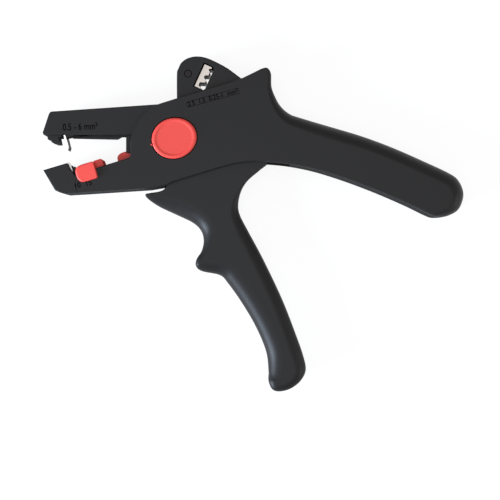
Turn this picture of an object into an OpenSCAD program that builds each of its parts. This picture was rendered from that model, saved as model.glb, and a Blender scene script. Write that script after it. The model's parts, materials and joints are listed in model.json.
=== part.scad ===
// Automatic wire stripper with a crimping ear, lying on its rear face.
// The origin is on the main pivot axis, in the resting plane. +X runs towards the ends of the
// handles, +Y towards the ear and +Z up from the resting face. The jaws are drawn open.
// The housing is a straight bar at a slant; bar(u, v) gives a place along and across that bar.

/* [Housing] */
// Thickness of the closed housing
housing_t = 20; // [19:0.5:24]
// Wall of the housing and of the lower jaw
wall = 2.6; // [2.2:0.1:3]
// Free space between a moving piece and the wall beside it
side_gap = 0.4; // [0.3:0.05:0.5]
// Radius of the front edge of the housing
front_r = 20.8; // [20.5:0.1:21.2]
// Distance from the pivot to the top edge of the bar
bar_top = 17.6; // [17.2:0.1:18.4]
// Distance from the pivot to the bottom edge of the bar
bar_bottom = 19.3; // [19:0.1:20]
// Reach of the upper handle from the pivot
handle_reach = 137; // [130:1:145]
// Width of the rounding along the top of the upper handle
handle_round = 7; // [4:0.5:8]
// Width of the rounding along the other edges of the housing
edge_round = 0.8; // [0.3:0.1:1.2]

/* [Jaws] */
// Distance from the pivot to the lower blade
blade_reach = 52.5; // [51:0.1:54]
// Length of both jaws past the lower blade
tip_l = 9.8; // [9.2:0.1:11]
// Height of the underside of the open upper jaw above the pivot
jaw_under = 1.9; // [1.6:0.1:2.2]
// Angle through which the upper jaw closes
jaw_stroke = 10.5; // [8:0.25:10.5]
// Thickness of both blades
blade_t = 0.8; // [0.5:0.1:1]
// Width of both blades
blade_w = 10; // [8:0.5:10.4]
// Free length between the lower blade and the face of the length stop
strip_set = 12.5; // [11:0.5:14]

/* [Lever] */
// Reach of the lever from the pivot
lever_reach = 119.5; // [112:0.5:126]
// Angle through which the lever closes
lever_stroke = 32; // [24:1:32]
// Width of the rounding along the front of the lever
lever_round = 8; // [4:0.5:9]
// Radius of the lever around the pivot
lever_hub_r = 10.2; // [9.6:0.1:10.4]

/* [Pivot] */
// Radius of the main pivot pin
pivot_r = 4; // [3.5:0.1:4.3]
// Running clearance of every pin, on the radius
pin_gap = 0.05; // [0.03:0.01:0.08]
// Half length of the pivot caps
cap_a = 10.7; // [10:0.1:11]
// Half width of the pivot caps
cap_b = 9.6; // [9:0.1:10]
// Distance from the pivot to the drive pin of the lower carrier
drive_r = 14.5; // [14.2:0.1:14.8]
// Distance from the pivot to the pin that closes the upper jaw
closing_r = 15; // [14.6:0.1:15.4]

/* [Crimping ear] */
// Height of the ear above the pivot
ear_reach = 38.9; // [38.6:0.1:41]
// Length of the crimping dies
die_l = 11.5; // [11:0.1:11.8]
// Distance from the pivot to the near end of the dies
die_near = 26.5; // [26.3:0.1:26.8]
// Thickness of the crimping arm
arm_t = 3; // [2.4:0.1:3.4]

/* [Hidden] */
$fn = 64;

// Colours
plastic_black = [0.10, 0.10, 0.11];
plastic_red = [0.85, 0.20, 0.20];
steel = [0.75, 0.75, 0.74];
blade_steel = [0.82, 0.81, 0.78];

// Slant of the housing bar, and turn of the oval caps
slant = 17.2;
cap_turn = 16;
// Overrun of every cut, and the thin gap between fixed pieces
cut = 1;
seam = 0.1;
// Free space between two moving pieces side by side
layer_gap = 0.3;
// Travel of both blade carriers, given by the drive pin
pull = 2 * drive_r * sin(lever_stroke / 2);

// Levels through the thickness
mid = housing_t / 2;
low = wall + side_gap;
high = housing_t - low;
cheek_t = 2.4;
plate_t = 2.3;
cheek_in = low + cheek_t;
plate_out = cheek_in + layer_gap;
plate_in = plate_out + plate_t;
inner_half = mid - plate_in;
rib_low = housing_t - 2 * wall;

// Reach of both jaws, and length of the top edge of the bar
jaw_reach = blade_reach + tip_l;
bar_l = 0.285 * handle_reach;

// Caps, pivot pin, its clip and its bush
cap_seat = 1.4;
cap_proud = 0.6;
cap_skin = 1;
cap_rear_skin = 0.7;
cap_rim = 2.6;
cap_groove = 0.3;
head_r = 6.5;
head_t = 0.8;
clip_t = 0.6;
pin_end = 0.6;
bush_t = 1.1;

// Hub of the upper jaw and its tail
hub_r = 8.5;
hub_space = lever_hub_r + 1;
neck_l = 5.8;
tail_r = closing_r + 4;
tail_low = -33;
tail_high = 24;
neck_low = 100;
neck_high = 137;
pin_r = 1.5;
small_pin_r = 1.1;
closing_angle = -25;
tail_pin_angle = 19.6;
tail_slot_end = closing_angle + lever_stroke - jaw_stroke;

// Screws of the housing
boss_r = 2.3;
screw_r = 1.4;
screw_head_r = 2.4;
screw_head_t = 1.2;
screw_end = 2;
ear_ring = 1.2;

// Lower jaw: depths are measured across the bar, below the pivot
cheek_drop = 2.4;
rim_t = 2.2;
slit_w = 0.3;
slit_gap = 1.28;
tip_top = 3.9;
tip_drop = 0.9;
jaw_depth = 11.1;
slit_u = -(blade_reach - blade_t - slit_gap);

// Lower blade carrier and its yoke
carrier_drop = 2.7;
carrier_base = 6.5;
carrier_front = blade_reach - 6.5;
carrier_back = blade_reach - 28;
bar_inset = 3;
bar_in = 9.8;
bar_out = 12.6;
fork_depth = 17.2;
fork_t = 2.3;
drive_pin_r = 1.8;
link_r = 1;
link = [-18.9, -4];
hump_l = 6.6;
hump_h = 4.3;
hump_u = -(carrier_back + 4.5);
hump_low = low + 1.5;

// Length stop
tab_l = 9.4;
tab_h = 8.1;
tab_depth = 7.2;
tab_t = 1.5;
tab_gap = 0.15;
tab_over = 0.6;
stop_top = 1.3;
stop_l = 4.4;
stop_u = -(blade_reach - strip_set);
leaf_t = 0.3;
leaf_rise = 0.6;
leaf_half = 2;

// Upper jaw, its carrier and the leg of that carrier
jaw_roof = 9.5;
blade_lean = 14.7;
blade_low = 5.2;
blade_offset = 1.7;
blade_up = 11;
edge_l = 1.4;
foot_l = 4;
foot_low = 6.2;
strip_half = 1.6;
strip_top = 6.3;
strip_low = 0.8;
leg_left = -23.2;
leg_right = -16.9;
leg_low = -6.1;
leg_w = 2.5;
leg_t = 1.2;
leg_z = high - cheek_t - side_gap - leg_t;
carrier_top = leg_z - layer_gap;
guide_r = 1.25;
guides = [[-0.705 * blade_reach, 3.9], [-0.477 * blade_reach, 4.5]];
pin_cover = 0.7;
pad_pin = -[blade_reach + 0.51 * tip_l, -0.477 * tip_l];

// Rivets of the blades, and the finger behind the lower blade
rivet_r = 0.8;
rivet_drop = 4.6;
rivet_side = blade_w / 4;
rivet_hold = 1.5;
holder_rise = 2.3;
holder_top = 0.2;
finger_w = 1.2;
finger_u = -(blade_reach - 2.8);

// Crimping ear, in a frame whose X runs from the pivot along the dies
die_turn = 65.2;
die_side = 2;
die_face = -1.9;
window_side = 3.1;
slot_half = 3;
slot_near = 22.8;
slot_far = die_near + die_l + 0.9;
die_half = slot_half - layer_gap;
die_end = 0.3;
die_root = 6.5;
die_cheek = 9.4;
die_rivet_drop = 8.2;
punch_gap = 0.5;
shank_l = 9.6;
shank_near = 2;
shank_far = 6.2;
shank_half = slot_half - 2 * layer_gap;
ear_foot = [5, 17];
ear_low = 13.9;
ear_back = bar_l + 4;
frame_pin = [0.162 * ear_reach, 0.788 * ear_reach];
arm_near = 24.5;
arm_far = 36;
arm_low = -9;
arm_high = 15;
arm_way = 60;
arm_depth = 12;

// Outline tables: [x share, y share, share of the rounding], of the reach they follow
// Under side of the upper handle, round its end and back along its top
handle_shares = [[0.209, -0.086, 0.1], [0.259, -0.080, 0.1], [0.309, -0.080, 0.15],
    [0.394, -0.088, 0.2], [0.487, -0.107, 0.2], [0.592, -0.140, 0.2], [0.698, -0.180, 0.2],
    [0.802, -0.225, 0.25], [0.876, -0.262, 0.5], [0.902, -0.270, 0.6], [0.938, -0.266, 0.7],
    [0.975, -0.248, 0.8], [0.994, -0.219, 0.9], [1, -0.183, 1], [0.984, -0.143, 1],
    [0.953, -0.117, 1], [0.864, -0.075, 1], [0.757, -0.028, 1], [0.650, 0.012, 1],
    [0.540, 0.045, 1], [0.434, 0.076, 0.9], [0.396, 0.089, 0.8], [0.365, 0.114, 0.6],
    [0.345, 0.147, 0.45], [0.333, 0.180, 0.3], [0.331, 0.223, 0.2], [0.318, 0.242, 0.15],
    [0.299, 0.239, 0.1]];
// Lever: down its front side, round its end and back up its rear side
lever_shares = [[-0.029, -0.176, 0.05], [-0.039, -0.196, 0.05], [-0.059, -0.207, 0.05],
    [-0.100, -0.214, 0.05], [-0.116, -0.219, 0.05], [-0.107, -0.236, 0.15], [-0.063, -0.267, 0.5],
    [0.005, -0.299, 0.8], [0.069, -0.330, 0.8], [0.102, -0.362, 0.8], [0.113, -0.402, 0.6],
    [0.105, -0.443, 0.4], [0.086, -0.474, 0.25], [0.083, -0.502, 0.3], [0.107, -0.523, 0.6],
    [0.177, -0.539, 0.9], [0.209, -0.571, 1], [0.265, -0.650, 1], [0.321, -0.746, 1],
    [0.361, -0.843, 1], [0.371, -0.922, 0.8], [0.371, -0.961, 0.4], [0.387, -0.992, 0.3],
    [0.418, -0.999, 0.4], [0.461, -0.987, 0.5], [0.499, -0.957, 0.6], [0.519, -0.915, 0.7],
    [0.509, -0.859, 0.75], [0.481, -0.778, 0.75], [0.425, -0.634, 0.75], [0.349, -0.474, 0.75],
    [0.289, -0.362, 0.7], [0.257, -0.299, 0.6], [0.250, -0.255, 0.4], [0.261, -0.203, 0.15],
    [0.286, -0.161, 0.05], [0.329, -0.123, 0.05], [0.364, -0.096, 0.05]];
// Ear above the housing, anticlockwise from its right foot, shares of its height
ear_shares = [[0.815, 0.725], [0.753, 0.774], [0.645, 0.853], [0.522, 0.920], [0.378, 0.982],
    [0.267, 1], [0.159, 0.974], [0.085, 0.915], [0.044, 0.841], [0.026, 0.781], [0.026, 0.474]];

// A place along and across the slanted bar
function bar(u, v) = [u * cos(slant) - v * sin(slant), u * sin(slant) + v * cos(slant)];
// A place at an angle and a radius about the pivot
function polar(r, a) = [r * cos(a), r * sin(a)];
// Places along an arc, from angle a0 to a1
function arc(c, r, a0, a1, n) = [for (i = [0:n]) c + polar(r, a0 + (a1 - a0) * i / n)];
// One point on the smooth curve from b to c, between the neighbours a and d
function between(a, b, c, d, t) = b + t / 2 * ((c - a)
    + t * ((2 * a - 5 * b + 4 * c - d) + t * (3 * (b - c) + d - a)));
// Smooth curve through every point of a list, with n steps from point to point
function smooth(p, n) = concat([for (i = [0:len(p) - 2], j = [0:n - 1])
    between(p[max(i - 1, 0)], p[i], p[i + 1], p[min(i + 2, len(p) - 1)], j / n)], [p[len(p) - 1]]);
// Shares turned into places and rounding widths
function placed(shares, reach, width) = [for (s = shares) [s.x * reach, s.y * reach, s.z * width]];
function rounded(points, width) = [for (p = points) [p.x, p.y, width]];
function flat(points) = [for (p = points) [p.x, p.y]];
// Outward direction of a closed anticlockwise path at point i
function outward(p, i) = let (n = len(p), d = p[(i + 1) % n] - p[(i + n - 1) % n],
    l = norm([d.x, d.y])) [d.y / l, -d.x / l];
// The path drawn in by share k of each point's rounding width, and by a fixed amount more
function drawn_in(p, k, more = 0) = [for (i = [0:len(p) - 1])
    [p[i].x, p[i].y] - outward(p, i) * (k * p[i].z + more)];

// Triangles of a flat anticlockwise outline p, by cutting off one corner after another
function turn(a, b, c) = cross(b - a, c - a);
function covers(a, b, c, q) = turn(a, b, q) >= 0 && turn(b, c, q) >= 0 && turn(c, a, q) >= 0;
function is_ear(p, ids, i) = let (n = len(ids), a = ids[(i + n - 1) % n], b = ids[i % n],
    c = ids[(i + 1) % n]) turn(p[a], p[b], p[c]) > 0
    && len([for (j = ids) if (j != a && j != b && j != c && covers(p[a], p[b], p[c], p[j])) j]) == 0;
function next_ear(p, ids, i) = is_ear(p, ids, i) || i > 2 * len(ids) ? i : next_ear(p, ids, i + 1);
function triangles(p, ids, from = 0) = len(ids) == 3 ? [ids]
    : let (n = len(ids), i = next_ear(p, ids, from) % n)
    concat([[ids[(i + n - 1) % n], ids[i], ids[(i + 1) % n]]],
    triangles(p, [for (k = [0:n - 1]) if (k != i) ids[k]], i + 1));

// Straight slab from z0 to z1
module slab(z0, z1) {
    translate([0, 0, z0]) linear_extrude(z1 - z0) children();
}

// Slab in the frame of the slanted bar
module bar_slab(z0, z1) {
    rotate([0, 0, slant]) slab(z0, z1) children();
}

// Round pin along Z
module pin(p, r, z0, z1) {
    translate([p.x, p.y, z0]) cylinder(r = r, h = z1 - z0);
}

// Slot with round ends from p to q
module slot(p, q, r) {
    d = q - p;
    translate(p) rotate(atan2(d.y, d.x)) {
        circle(r = r);
        translate([norm(d), 0]) circle(r = r);
        translate([0, -r]) square([norm(d), 2 * r]);
    }
}

// Box given by its ends along and across
module span(x0, x1, y0, y1) {
    translate([x0, y0]) square([x1 - x0, y1 - y0]);
}

// Oval with n corners
module oval(a, b, n = 64) {
    polygon([for (i = [0:n - 1]) [a * cos(360 * i / n), b * sin(360 * i / n)]]);
}

// Solid whose closed path is drawn in from level to level; levels are [z, share drawn in]
module round_slab(path, levels) {
    n = len(path);
    rings = [for (l = levels) [for (p = drawn_in(path, l[1])) [p.x, p.y, l[0]]]];
    sides = [for (k = [0:len(levels) - 2], i = [0:n - 1], f = [0, 1]) let (j = (i + 1) % n)
        f == 0 ? [k * n + i, (k + 1) * n + j, k * n + j] : [k * n + i, (k + 1) * n + i, (k + 1) * n + j]];
    last = len(levels) - 1;
    bottom = triangles(flat(rings[0]), [for (i = [0:n - 1]) i]);
    top = [for (t = triangles(flat(rings[last]), [for (i = [0:n - 1]) i]))
        [for (k = [2, 1, 0]) last * n + t[k]]];
    polyhedron([for (r = rings, p = r) p], concat(sides, bottom, top));
}

// Levels of a rounded edge between z0 and z1, from step i0 (-n is z0, n is z1)
function levels(z0, z1, i0, n) = [for (i = [i0:n])
    [(z0 + z1) / 2 + (z1 - z0) / 2 * sin(90 * i / n), 1 - cos(90 * i / n)]];

// Unbroken wire of radius r along a list of places
module wire(path, r, sides = 8) {
    n = len(path);
    function along(i) = let (d = path[min(i + 1, n - 1)] - path[max(i - 1, 0)]) d / norm(d);
    rings = [for (i = [0:n - 1]) let (t = along(i), a = cross([0, 0, 1], t),
        s = norm(a) > 0 ? a / norm(a) : [1, 0, 0], q = cross(t, s))
        [for (k = [0:sides - 1]) path[i] + r * (s * cos(360 * k / sides) + q * sin(360 * k / sides))]];
    faces = [for (i = [0:n - 2], k = [0:sides - 1], f = [0, 1]) let (m = (k + 1) % sides)
        f == 0 ? [i * sides + k, (i + 1) * sides + m, i * sides + m]
            : [i * sides + k, (i + 1) * sides + k, (i + 1) * sides + m]];
    ends = [[for (k = [0:sides - 1]) k], [for (k = [0:sides - 1]) n * sides - 1 - k]];
    polyhedron([for (g = rings, p = g) p], concat(faces, ends));
}

// Places of the screws: two in the bar that also hold the ear, two in the jaw and the bar's end,
// and two in the upper handle
screw_a = [7.5, 15.5];
ear_screw = [bar_l + 3.5, 11.2];
jaw_screw = [-(carrier_back + 10.1), -10.4];
end_screw = [0.383 * handle_reach, -1];
grip_screw_shares = [[0.584, -0.044], [0.883, -0.182]];
screw_b = bar(ear_screw.x, ear_screw.y);
screws = concat([screw_a, screw_b, bar(jaw_screw.x, jaw_screw.y), end_screw],
    handle_reach * grip_screw_shares);

// Pin of the jaw tip, and the post of the return spring
tip_pin_in = 3;
tip_pin_drop = 8.3;
tip_pin = bar(slit_u + tip_pin_in, -tip_pin_drop);
post = [1.1, 13];
post_r = 1.2;

// Housing outline, anticlockwise from the lower corner at the slit
front_shift = 0.8;
front_foot = 2;
front_center = bar(-front_shift, bar_top - front_r);
front_low_angle = 189;
jaw_bottom = [bar(slit_u + slit_w, -jaw_depth), bar(-0.35 * blade_reach, -0.98 * bar_bottom),
    bar(-0.21 * blade_reach, -1.03 * bar_bottom)];
bar_foot = bar(-0.12 * blade_reach, -bar_bottom);
bar_end = bar(0.28 * blade_reach, -bar_bottom);
steps = 2;
handle_path = smooth(placed(handle_shares, handle_reach, handle_round), steps);
shell_path = concat(rounded(concat(jaw_bottom, [bar_foot, bar_end]), edge_round), handle_path,
    rounded(concat([bar(bar_l, bar_top)], arc(front_center, front_r, 90 + slant, front_low_angle, 12),
    [bar(-(front_r + front_foot), -cheek_drop), bar(slit_u + slit_w, -cheek_drop)]), edge_round));

// Room inside a shell: open at the jaws, under the lever and at the ear
rim_end = 10.9;
rim_first = 5 + 3 * steps;
rim_last = 5 + 25 * steps;
function room_side(k) = let (p = drawn_in(shell_path, 0.5, k * wall))
    [for (i = [rim_first:rim_last]) p[i]];
room_path = concat([bar(slit_u - cut, -(jaw_depth - rim_t)), jaw_bottom[1] + bar(0, rim_t),
    bar(-rim_end, -bar_bottom + rim_t), bar(-rim_end, -1.3 * bar_bottom),
    [shell_path[rim_first].x, -bar_bottom]], room_side(1),
    [bar(ear_back + seam, bar_top - wall), bar(bar_l, bar_top + wall), bar(-1.3 * front_r, bar_top + wall),
    bar(slit_u - cut, bar_top)]);

// Rail under the lower carrier, and cross ribs of the handle
rail_t = 1.4;
rail_front = carrier_front - 2;
rail_back = carrier_back + 1.2;
rib_shares = [0.48, 0.68, 0.78];
rib_t = 1.5;

// Front half of the housing; the rear half is its mirror image
module shell_half() {
    difference() {
        union() {
            difference() {
                round_slab(shell_path, levels(0, housing_t, 0, 3));
                slab(mid - cut, housing_t - wall) polygon(room_path);
            }
            for (p = screws) pin(p, boss_r, mid, housing_t - wall + seam);
            pin(post, post_r, mid, housing_t - wall + seam);
            bar_slab(rib_low, housing_t - wall + seam) span(-rail_front, -rail_back,
                -(carrier_base + side_gap + rail_t), -(carrier_base + side_gap));
            slab(rib_low, housing_t - wall + seam) intersection() {
                polygon(room_side(0.7));
                for (k = rib_shares) translate([k * handle_reach, -handle_reach / 2])
                    square([rib_t, handle_reach]);
            }
        }
        pin([0, 0], pivot_r + pin_gap, 0, housing_t + cut);
        slab(housing_t - cap_seat, housing_t + cut) rotate(cap_turn) oval(cap_a + seam, cap_b + seam);
        pin(tip_pin, small_pin_r, mid - cut, housing_t - wall / 2);
    }
}

module front_shell() {
    color(plastic_black) difference() {
        shell_half();
        for (p = screws) pin(p, screw_r + pin_gap, mid - cut, housing_t - screw_end);
    }
}

module rear_shell() {
    color(plastic_black) difference() {
        translate([0, 0, housing_t]) mirror([0, 0, 1]) shell_half();
        for (p = screws) {
            pin(p, screw_r + pin_gap, -cut, mid + cut);
            pin(p, screw_head_r + seam, -cut, screw_head_t + seam);
        }
    }
}

module front_cap() {
    color(plastic_red) rotate([0, 0, cap_turn]) difference() {
        slab(housing_t - cap_seat, housing_t + cap_proud) oval(cap_a, cap_b);
        slab(housing_t + cap_proud - cap_groove, housing_t + cut) oval(cap_a - cap_rim, cap_b - cap_rim);
        slab(housing_t - cap_seat - cut, housing_t + cap_proud - cap_skin)
            circle(r = head_r + layer_gap);
    }
}

module rear_cap() {
    color(plastic_red) rotate([0, 0, cap_turn]) difference() {
        slab(0, cap_seat) oval(cap_a, cap_b);
        slab(cap_rear_skin, cap_seat + cut) circle(r = head_r + layer_gap);
    }
}

module main_pivot_pin() {
    color(steel) {
        pin([0, 0], pivot_r, cap_seat - pin_end, housing_t - cap_seat + head_t / 2);
        pin([0, 0], head_r, housing_t - cap_seat, housing_t - cap_seat + head_t);
    }
}

module pivot_clip() {
    color(steel) difference() {
        pin([0, 0], head_r - layer_gap, cap_seat - clip_t, cap_seat);
        pin([0, 0], pivot_r, -cut, cap_seat + cut);
        slab(0, cap_seat + cut) span(0, head_r, -clip_t, clip_t);
    }
}

module pivot_bush() {
    color(steel) difference() {
        pin([0, 0], pivot_r + bush_t, mid - inner_half + seam, mid + inner_half - seam);
        pin([0, 0], pivot_r + pin_gap, 0, housing_t);
    }
}

// Torsion spring: two turns round the bush, one leg on the closing pin, one on the post
spring_r = 6.2;
spring_wire = 0.4;
leg_from = 49.3;
leg_end = 14.7;
spring_turns = 2;
leg_to = leg_end + 360 * spring_turns;
leg_rise = inner_half - 1.1 * spring_wire;
coil_steps = 48;
module return_spring() {
    coil = [for (i = [0:coil_steps]) let (a = leg_from + (leg_to - leg_from) * i / coil_steps)
        [spring_r * cos(a), spring_r * sin(a), mid + leg_rise - 2 * leg_rise * i / coil_steps]];
    first = [for (k = [1, 0.5]) coil[0] + k * closing_r * [sin(leg_from), -cos(leg_from), 0]];
    last = [for (k = [0.5, 0.93]) coil[coil_steps] + k * closing_r * [-sin(leg_to), cos(leg_to), 0]];
    color(steel) wire(concat(first, coil, last), spring_wire);
}

module housing_screws() {
    color(steel) for (p = screws) difference() {
        union() {
            pin(p, screw_r, screw_head_t / 2, housing_t - screw_end - seam);
            pin(p, screw_head_r, 0, screw_head_t);
        }
        slab(-cut, screw_head_t / 2) translate(p) for (a = [0, 90]) rotate(a)
            square([screw_head_r, screw_head_t / 2], center = true);
    }
}

// Clamping end of the lower jaw, hollow for the lower blade, with a tongue between the shells
tip_shares = [[-1.014, 0.063], [-0.974, -0.109], [-0.945, -0.135], [-0.915, -0.154]];
recess_u = -(blade_reach + side_gap);
tongue_l = 6;
tongue_gap = 0.6;
module lower_jaw_tip() {
    outline = concat([bar(-(blade_reach - side_gap), tip_top)],
        [for (s = tip_shares) jaw_reach * bar(s.x, s.y)],
        [bar(slit_u, -jaw_depth + seam), bar(slit_u, -tip_drop)]);
    color(plastic_black) difference() {
        union() {
            round_slab(rounded(outline, edge_round), levels(0, housing_t, -2, 2));
            bar_slab(low, high) span(slit_u - cut, slit_u + tongue_l,
                -(jaw_depth - rim_t - tongue_gap), -(carrier_base + tongue_gap));
        }
        bar_slab(mid - blade_w / 2 - side_gap, mid + blade_w / 2 + side_gap)
            span(recess_u, slit_u + cut, -(carrier_base + seam), tip_top + cut);
        pin(tip_pin, small_pin_r, 0, housing_t);
    }
}

module jaw_tip_pin() {
    color(steel) pin(tip_pin, small_pin_r - seam / 2, wall / 2 + seam, housing_t - wall / 2 - seam);
}

// Places and shapes in the slide of the lower jaw
drive_start = slant - 90 - lever_stroke / 2;
drive_place = polar(drive_r, drive_start);
drive_u = -drive_r * sin(lever_stroke / 2);
drive_v = -drive_r * cos(lever_stroke / 2);
fork_half = drive_pin_r + fork_t;
bend_out = 5.5;
bend_in = 6.6;
bend_drop = 3;
link_arm_r = link_r + 0.4;
link_arm = 11.3;
hump_shares = [[1, 0], [1.02, 0.35], [0.96, 0.7], [0.78, 0.95], [0.5, 1], [0.22, 0.9], [0.06, 0.72],
    [0, 0.45], [0, 0]];

module lower_blade_carrier() {
    color(plastic_red) difference() {
        union() {
            // Body that slides between the walls of the lower jaw
            bar_slab(low, high) span(-carrier_front, -carrier_back, -carrier_base, -carrier_drop);
            // Hump that shows behind the length stop
            bar_slab(hump_low, carrier_top) translate([hump_u, -carrier_drop - seam])
                polygon([for (s = smooth(hump_shares, 3)) [s.x * hump_l, s.y * (hump_h + seam)]]);
            // Narrow bar under the hubs, and the fork round the drive pin
            bar_slab(low + bar_inset, high - bar_inset) difference() {
                polygon([[-carrier_back - bend_out, -carrier_drop - seam],
                    [-carrier_back - bend_out, -carrier_base - bend_drop], [-carrier_back, -bar_out],
                    [drive_u - fork_half, -bar_out], [drive_u - fork_half, -fork_depth],
                    [drive_u + fork_half, -fork_depth], [drive_u + fork_half, -bar_in - seam],
                    [-carrier_back + bend_in, -bar_in], [-carrier_back + seam, -carrier_base]]);
                slot([drive_u, drive_v + drive_pin_r / 2], [drive_u, -fork_depth - cut],
                    drive_pin_r + seam);
            }
            // Upright arm with the pin of the upper carrier
            slab(mid - strip_half, carrier_top) slot(link, link + bar(0, -link_arm), link_arm_r);
        }
        pin(link, link_r, 0, housing_t);
        rotate([0, 0, slant]) for (s = [-1, 1])
            translate([-carrier_front - cut, -rivet_drop, mid + s * rivet_side])
            rotate([0, 90, 0]) cylinder(r = rivet_r, h = cut + rivet_hold);
    }
}

module lower_blade_holder() {
    color(plastic_black) difference() {
        bar_slab(mid - blade_w / 2, mid + blade_w / 2) {
            span(-(blade_reach - blade_t), -carrier_front, -carrier_base + seam, -holder_top);
            translate([finger_u + finger_w / 2, -holder_top - finger_w])
                slot([0, 0], [0, holder_rise + holder_top], finger_w / 2);
        }
        bar_slab(mid - blade_w, mid + blade_w)
            span(finger_u + finger_w, 0, -carrier_drop, holder_rise + cut);
        lower_rivet_holes();
    }
}

module lower_rivet_holes() {
    rotate([0, 0, slant]) for (s = [-1, 1])
        translate([-blade_reach - cut, -rivet_drop, mid + s * rivet_side])
        rotate([0, 90, 0]) cylinder(r = rivet_r, h = blade_reach);
}

module lower_blade() {
    color(blade_steel) difference() {
        bar_slab(mid - blade_w / 2, mid + blade_w / 2) polygon([[-blade_reach, -carrier_base + seam],
            [-blade_reach + blade_t, -carrier_base + seam], [-blade_reach + blade_t, tip_top + tip_drop],
            [-blade_reach, tip_top + tip_drop - edge_l]]);
        lower_rivet_holes();
    }
}

module lower_blade_rivets() {
    color(steel) rotate([0, 0, slant]) for (s = [-1, 1])
        translate([-blade_reach, -rivet_drop, mid + s * rivet_side]) rotate([0, 90, 0])
        cylinder(r = rivet_r, h = blade_reach - carrier_front + rivet_hold);
}

module carrier_link_pin() {
    color(steel) pin(link, link_r, mid - strip_half, leg_z + leg_t - seam);
}

// Length stop: tab in front of the lower jaw, web over its edge, and block that the wire meets
tab_shares = [[1, 0.90], [0.93, 1], [0.78, 1], [0.36, 1], [0.14, 0.93], [0.02, 0.72], [0, 0.5],
    [0.03, 0.24], [0.16, 0.05], [0.38, 0], [0.78, 0], [0.94, 0.005], [1, 0.06]];
block_shares = [[0, 0], [1, 0], [1, 0.72], [0.82, 0.98], [0.2, 0.87], [0, 0.70]];
web_in = 3;
web_over = 0.4;
leaf_space = 1.2;
module length_stop() {
    color(plastic_red) difference() {
        union() {
            bar_slab(housing_t + tab_gap, housing_t + tab_gap + tab_t)
                translate([stop_u + tab_over - tab_l, -tab_depth])
                polygon([for (s = smooth(tab_shares, 3)) [s.x * tab_l, s.y * tab_h]]);
            bar_slab(mid + web_in, housing_t + tab_gap + seam)
                span(stop_u - stop_l, stop_u + web_over, -cheek_drop + seam, tab_h - tab_depth - layer_gap);
            bar_slab(low + 1.5, high - tab_gap) translate([stop_u, -carrier_drop + seam])
                polygon([for (s = block_shares) [s.x * stop_l, s.y * (stop_top + carrier_drop)]]);
        }
        bar_slab(mid - leaf_half - seam, mid + leaf_half + seam) translate([stop_u, -carrier_drop])
            span(web_over, stop_l - web_over, -seam, leaf_space);
    }
}

module stop_spring() {
    leaf_l = stop_l - leaf_space;
    color(steel) bar_slab(mid - leaf_half, mid + leaf_half)
        translate([stop_u + (stop_l - leaf_l) / 2, -carrier_drop + seam])
        polygon(concat([for (i = [0:12]) [leaf_l * i / 12, leaf_t + leaf_rise * sin(15 * i)]],
            [for (i = [12:-1:0]) [leaf_l * i / 12, leaf_rise * sin(15 * i)]]));
}

// Upper jaw, open. Its top edge rises towards the housing
nose_shares = [[-0.936, 0.207], [-0.949, 0.196], [-0.956, 0.18], [-1, 0.047], [-0.993, 0.031]];
jaw_top_end = [-0.127 * jaw_reach, 0.262 * jaw_reach];
room_shares = [[-0.985, 0], [-0.969, 0.5], [-0.945, 1]];
module jaw_outline() {
    difference() {
        polygon(concat([[-front_r / 2, jaw_under], polar(hub_space, neck_low),
            polar(hub_space + neck_l, neck_low), jaw_top_end], jaw_reach * nose_shares));
        circle(r = hub_space);
    }
}

module upper_jaw() {
    color(plastic_black) difference() {
        union() {
            difference() {
                slab(low, high) jaw_outline();
                // Room for the pad, the blade and the carrier, open below and to the rear
                slab(mid - blade_w / 2 - layer_gap, mid + blade_w / 2 + layer_gap) polygon(concat(
                    [[0, -cut], [-jaw_reach * 0.985, -cut]],
                    [for (s = room_shares) [s.x * jaw_reach, s.y * jaw_roof]], [[0, jaw_roof]]));
            }
            // Two plates with the hub and the tail
            for (z = [plate_out, mid + inner_half]) slab(z, z + plate_t) difference() {
                union() {
                    circle(r = hub_r);
                    polygon([polar(hub_r / 2, neck_low), polar(hub_space + neck_l / 2, neck_low),
                        polar(hub_space + neck_l / 2, neck_high), polar(hub_r / 2, neck_high)]);
                    polygon(concat([[0, 0]], arc([0, 0], tail_r, tail_low, tail_high, 24)));
                }
                polygon(concat(arc([0, 0], closing_r + pin_r + seam, closing_angle, tail_slot_end, 16),
                    arc([0, 0], closing_r - pin_r - seam, tail_slot_end, closing_angle, 16)));
                for (a = [closing_angle, tail_slot_end]) translate(polar(closing_r, a))
                    circle(r = pin_r + seam);
            }
        }
        pin([0, 0], pivot_r + pin_gap, 0, housing_t);
        pin(polar(closing_r, tail_pin_angle), small_pin_r, 0, housing_t);
        for (p = concat([pad_pin], guides)) pin(p, guide_r, low + pin_cover, high - pin_cover);
    }
}

pad_shares = [[-0.822, 0.178], [-0.784, 0.038], [-0.72, 0], [-0.689, -0.07], [-0.625, -0.07],
    [-0.6, -0.165], [-0.542, -0.165], [-0.511, -0.216], [-0.441, -0.216], [-0.409, -0.235],
    [-0.11, -0.235], [-0.186, 0.095], [-0.205, 0.763], [-0.619, 0.763]];
module upper_clamp_pad() {
    color(plastic_black) difference() {
        slab(mid - blade_w / 2, mid + blade_w / 2)
            polygon([for (s = pad_shares) tip_l * s - [blade_reach, 0]]);
        pin(pad_pin, guide_r + seam / 2, 0, housing_t);
    }
}

module clamp_pad_pin() {
    color(steel) pin(pad_pin, guide_r, low + pin_cover, high - pin_cover);
}

module jaw_guide_pins() {
    color(steel) for (g = guides) pin(g, guide_r, low + pin_cover, high - pin_cover);
}

module tail_pin() {
    color(steel)
        pin(polar(closing_r, tail_pin_angle), small_pin_r, plate_out, mid + inner_half + plate_t);
}

// Frame of the upper blade: its lower left corner, leaning
module blade_frame() {
    translate([-(blade_reach - blade_offset), -blade_low, 0]) rotate([0, 0, blade_lean]) children();
}

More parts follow.
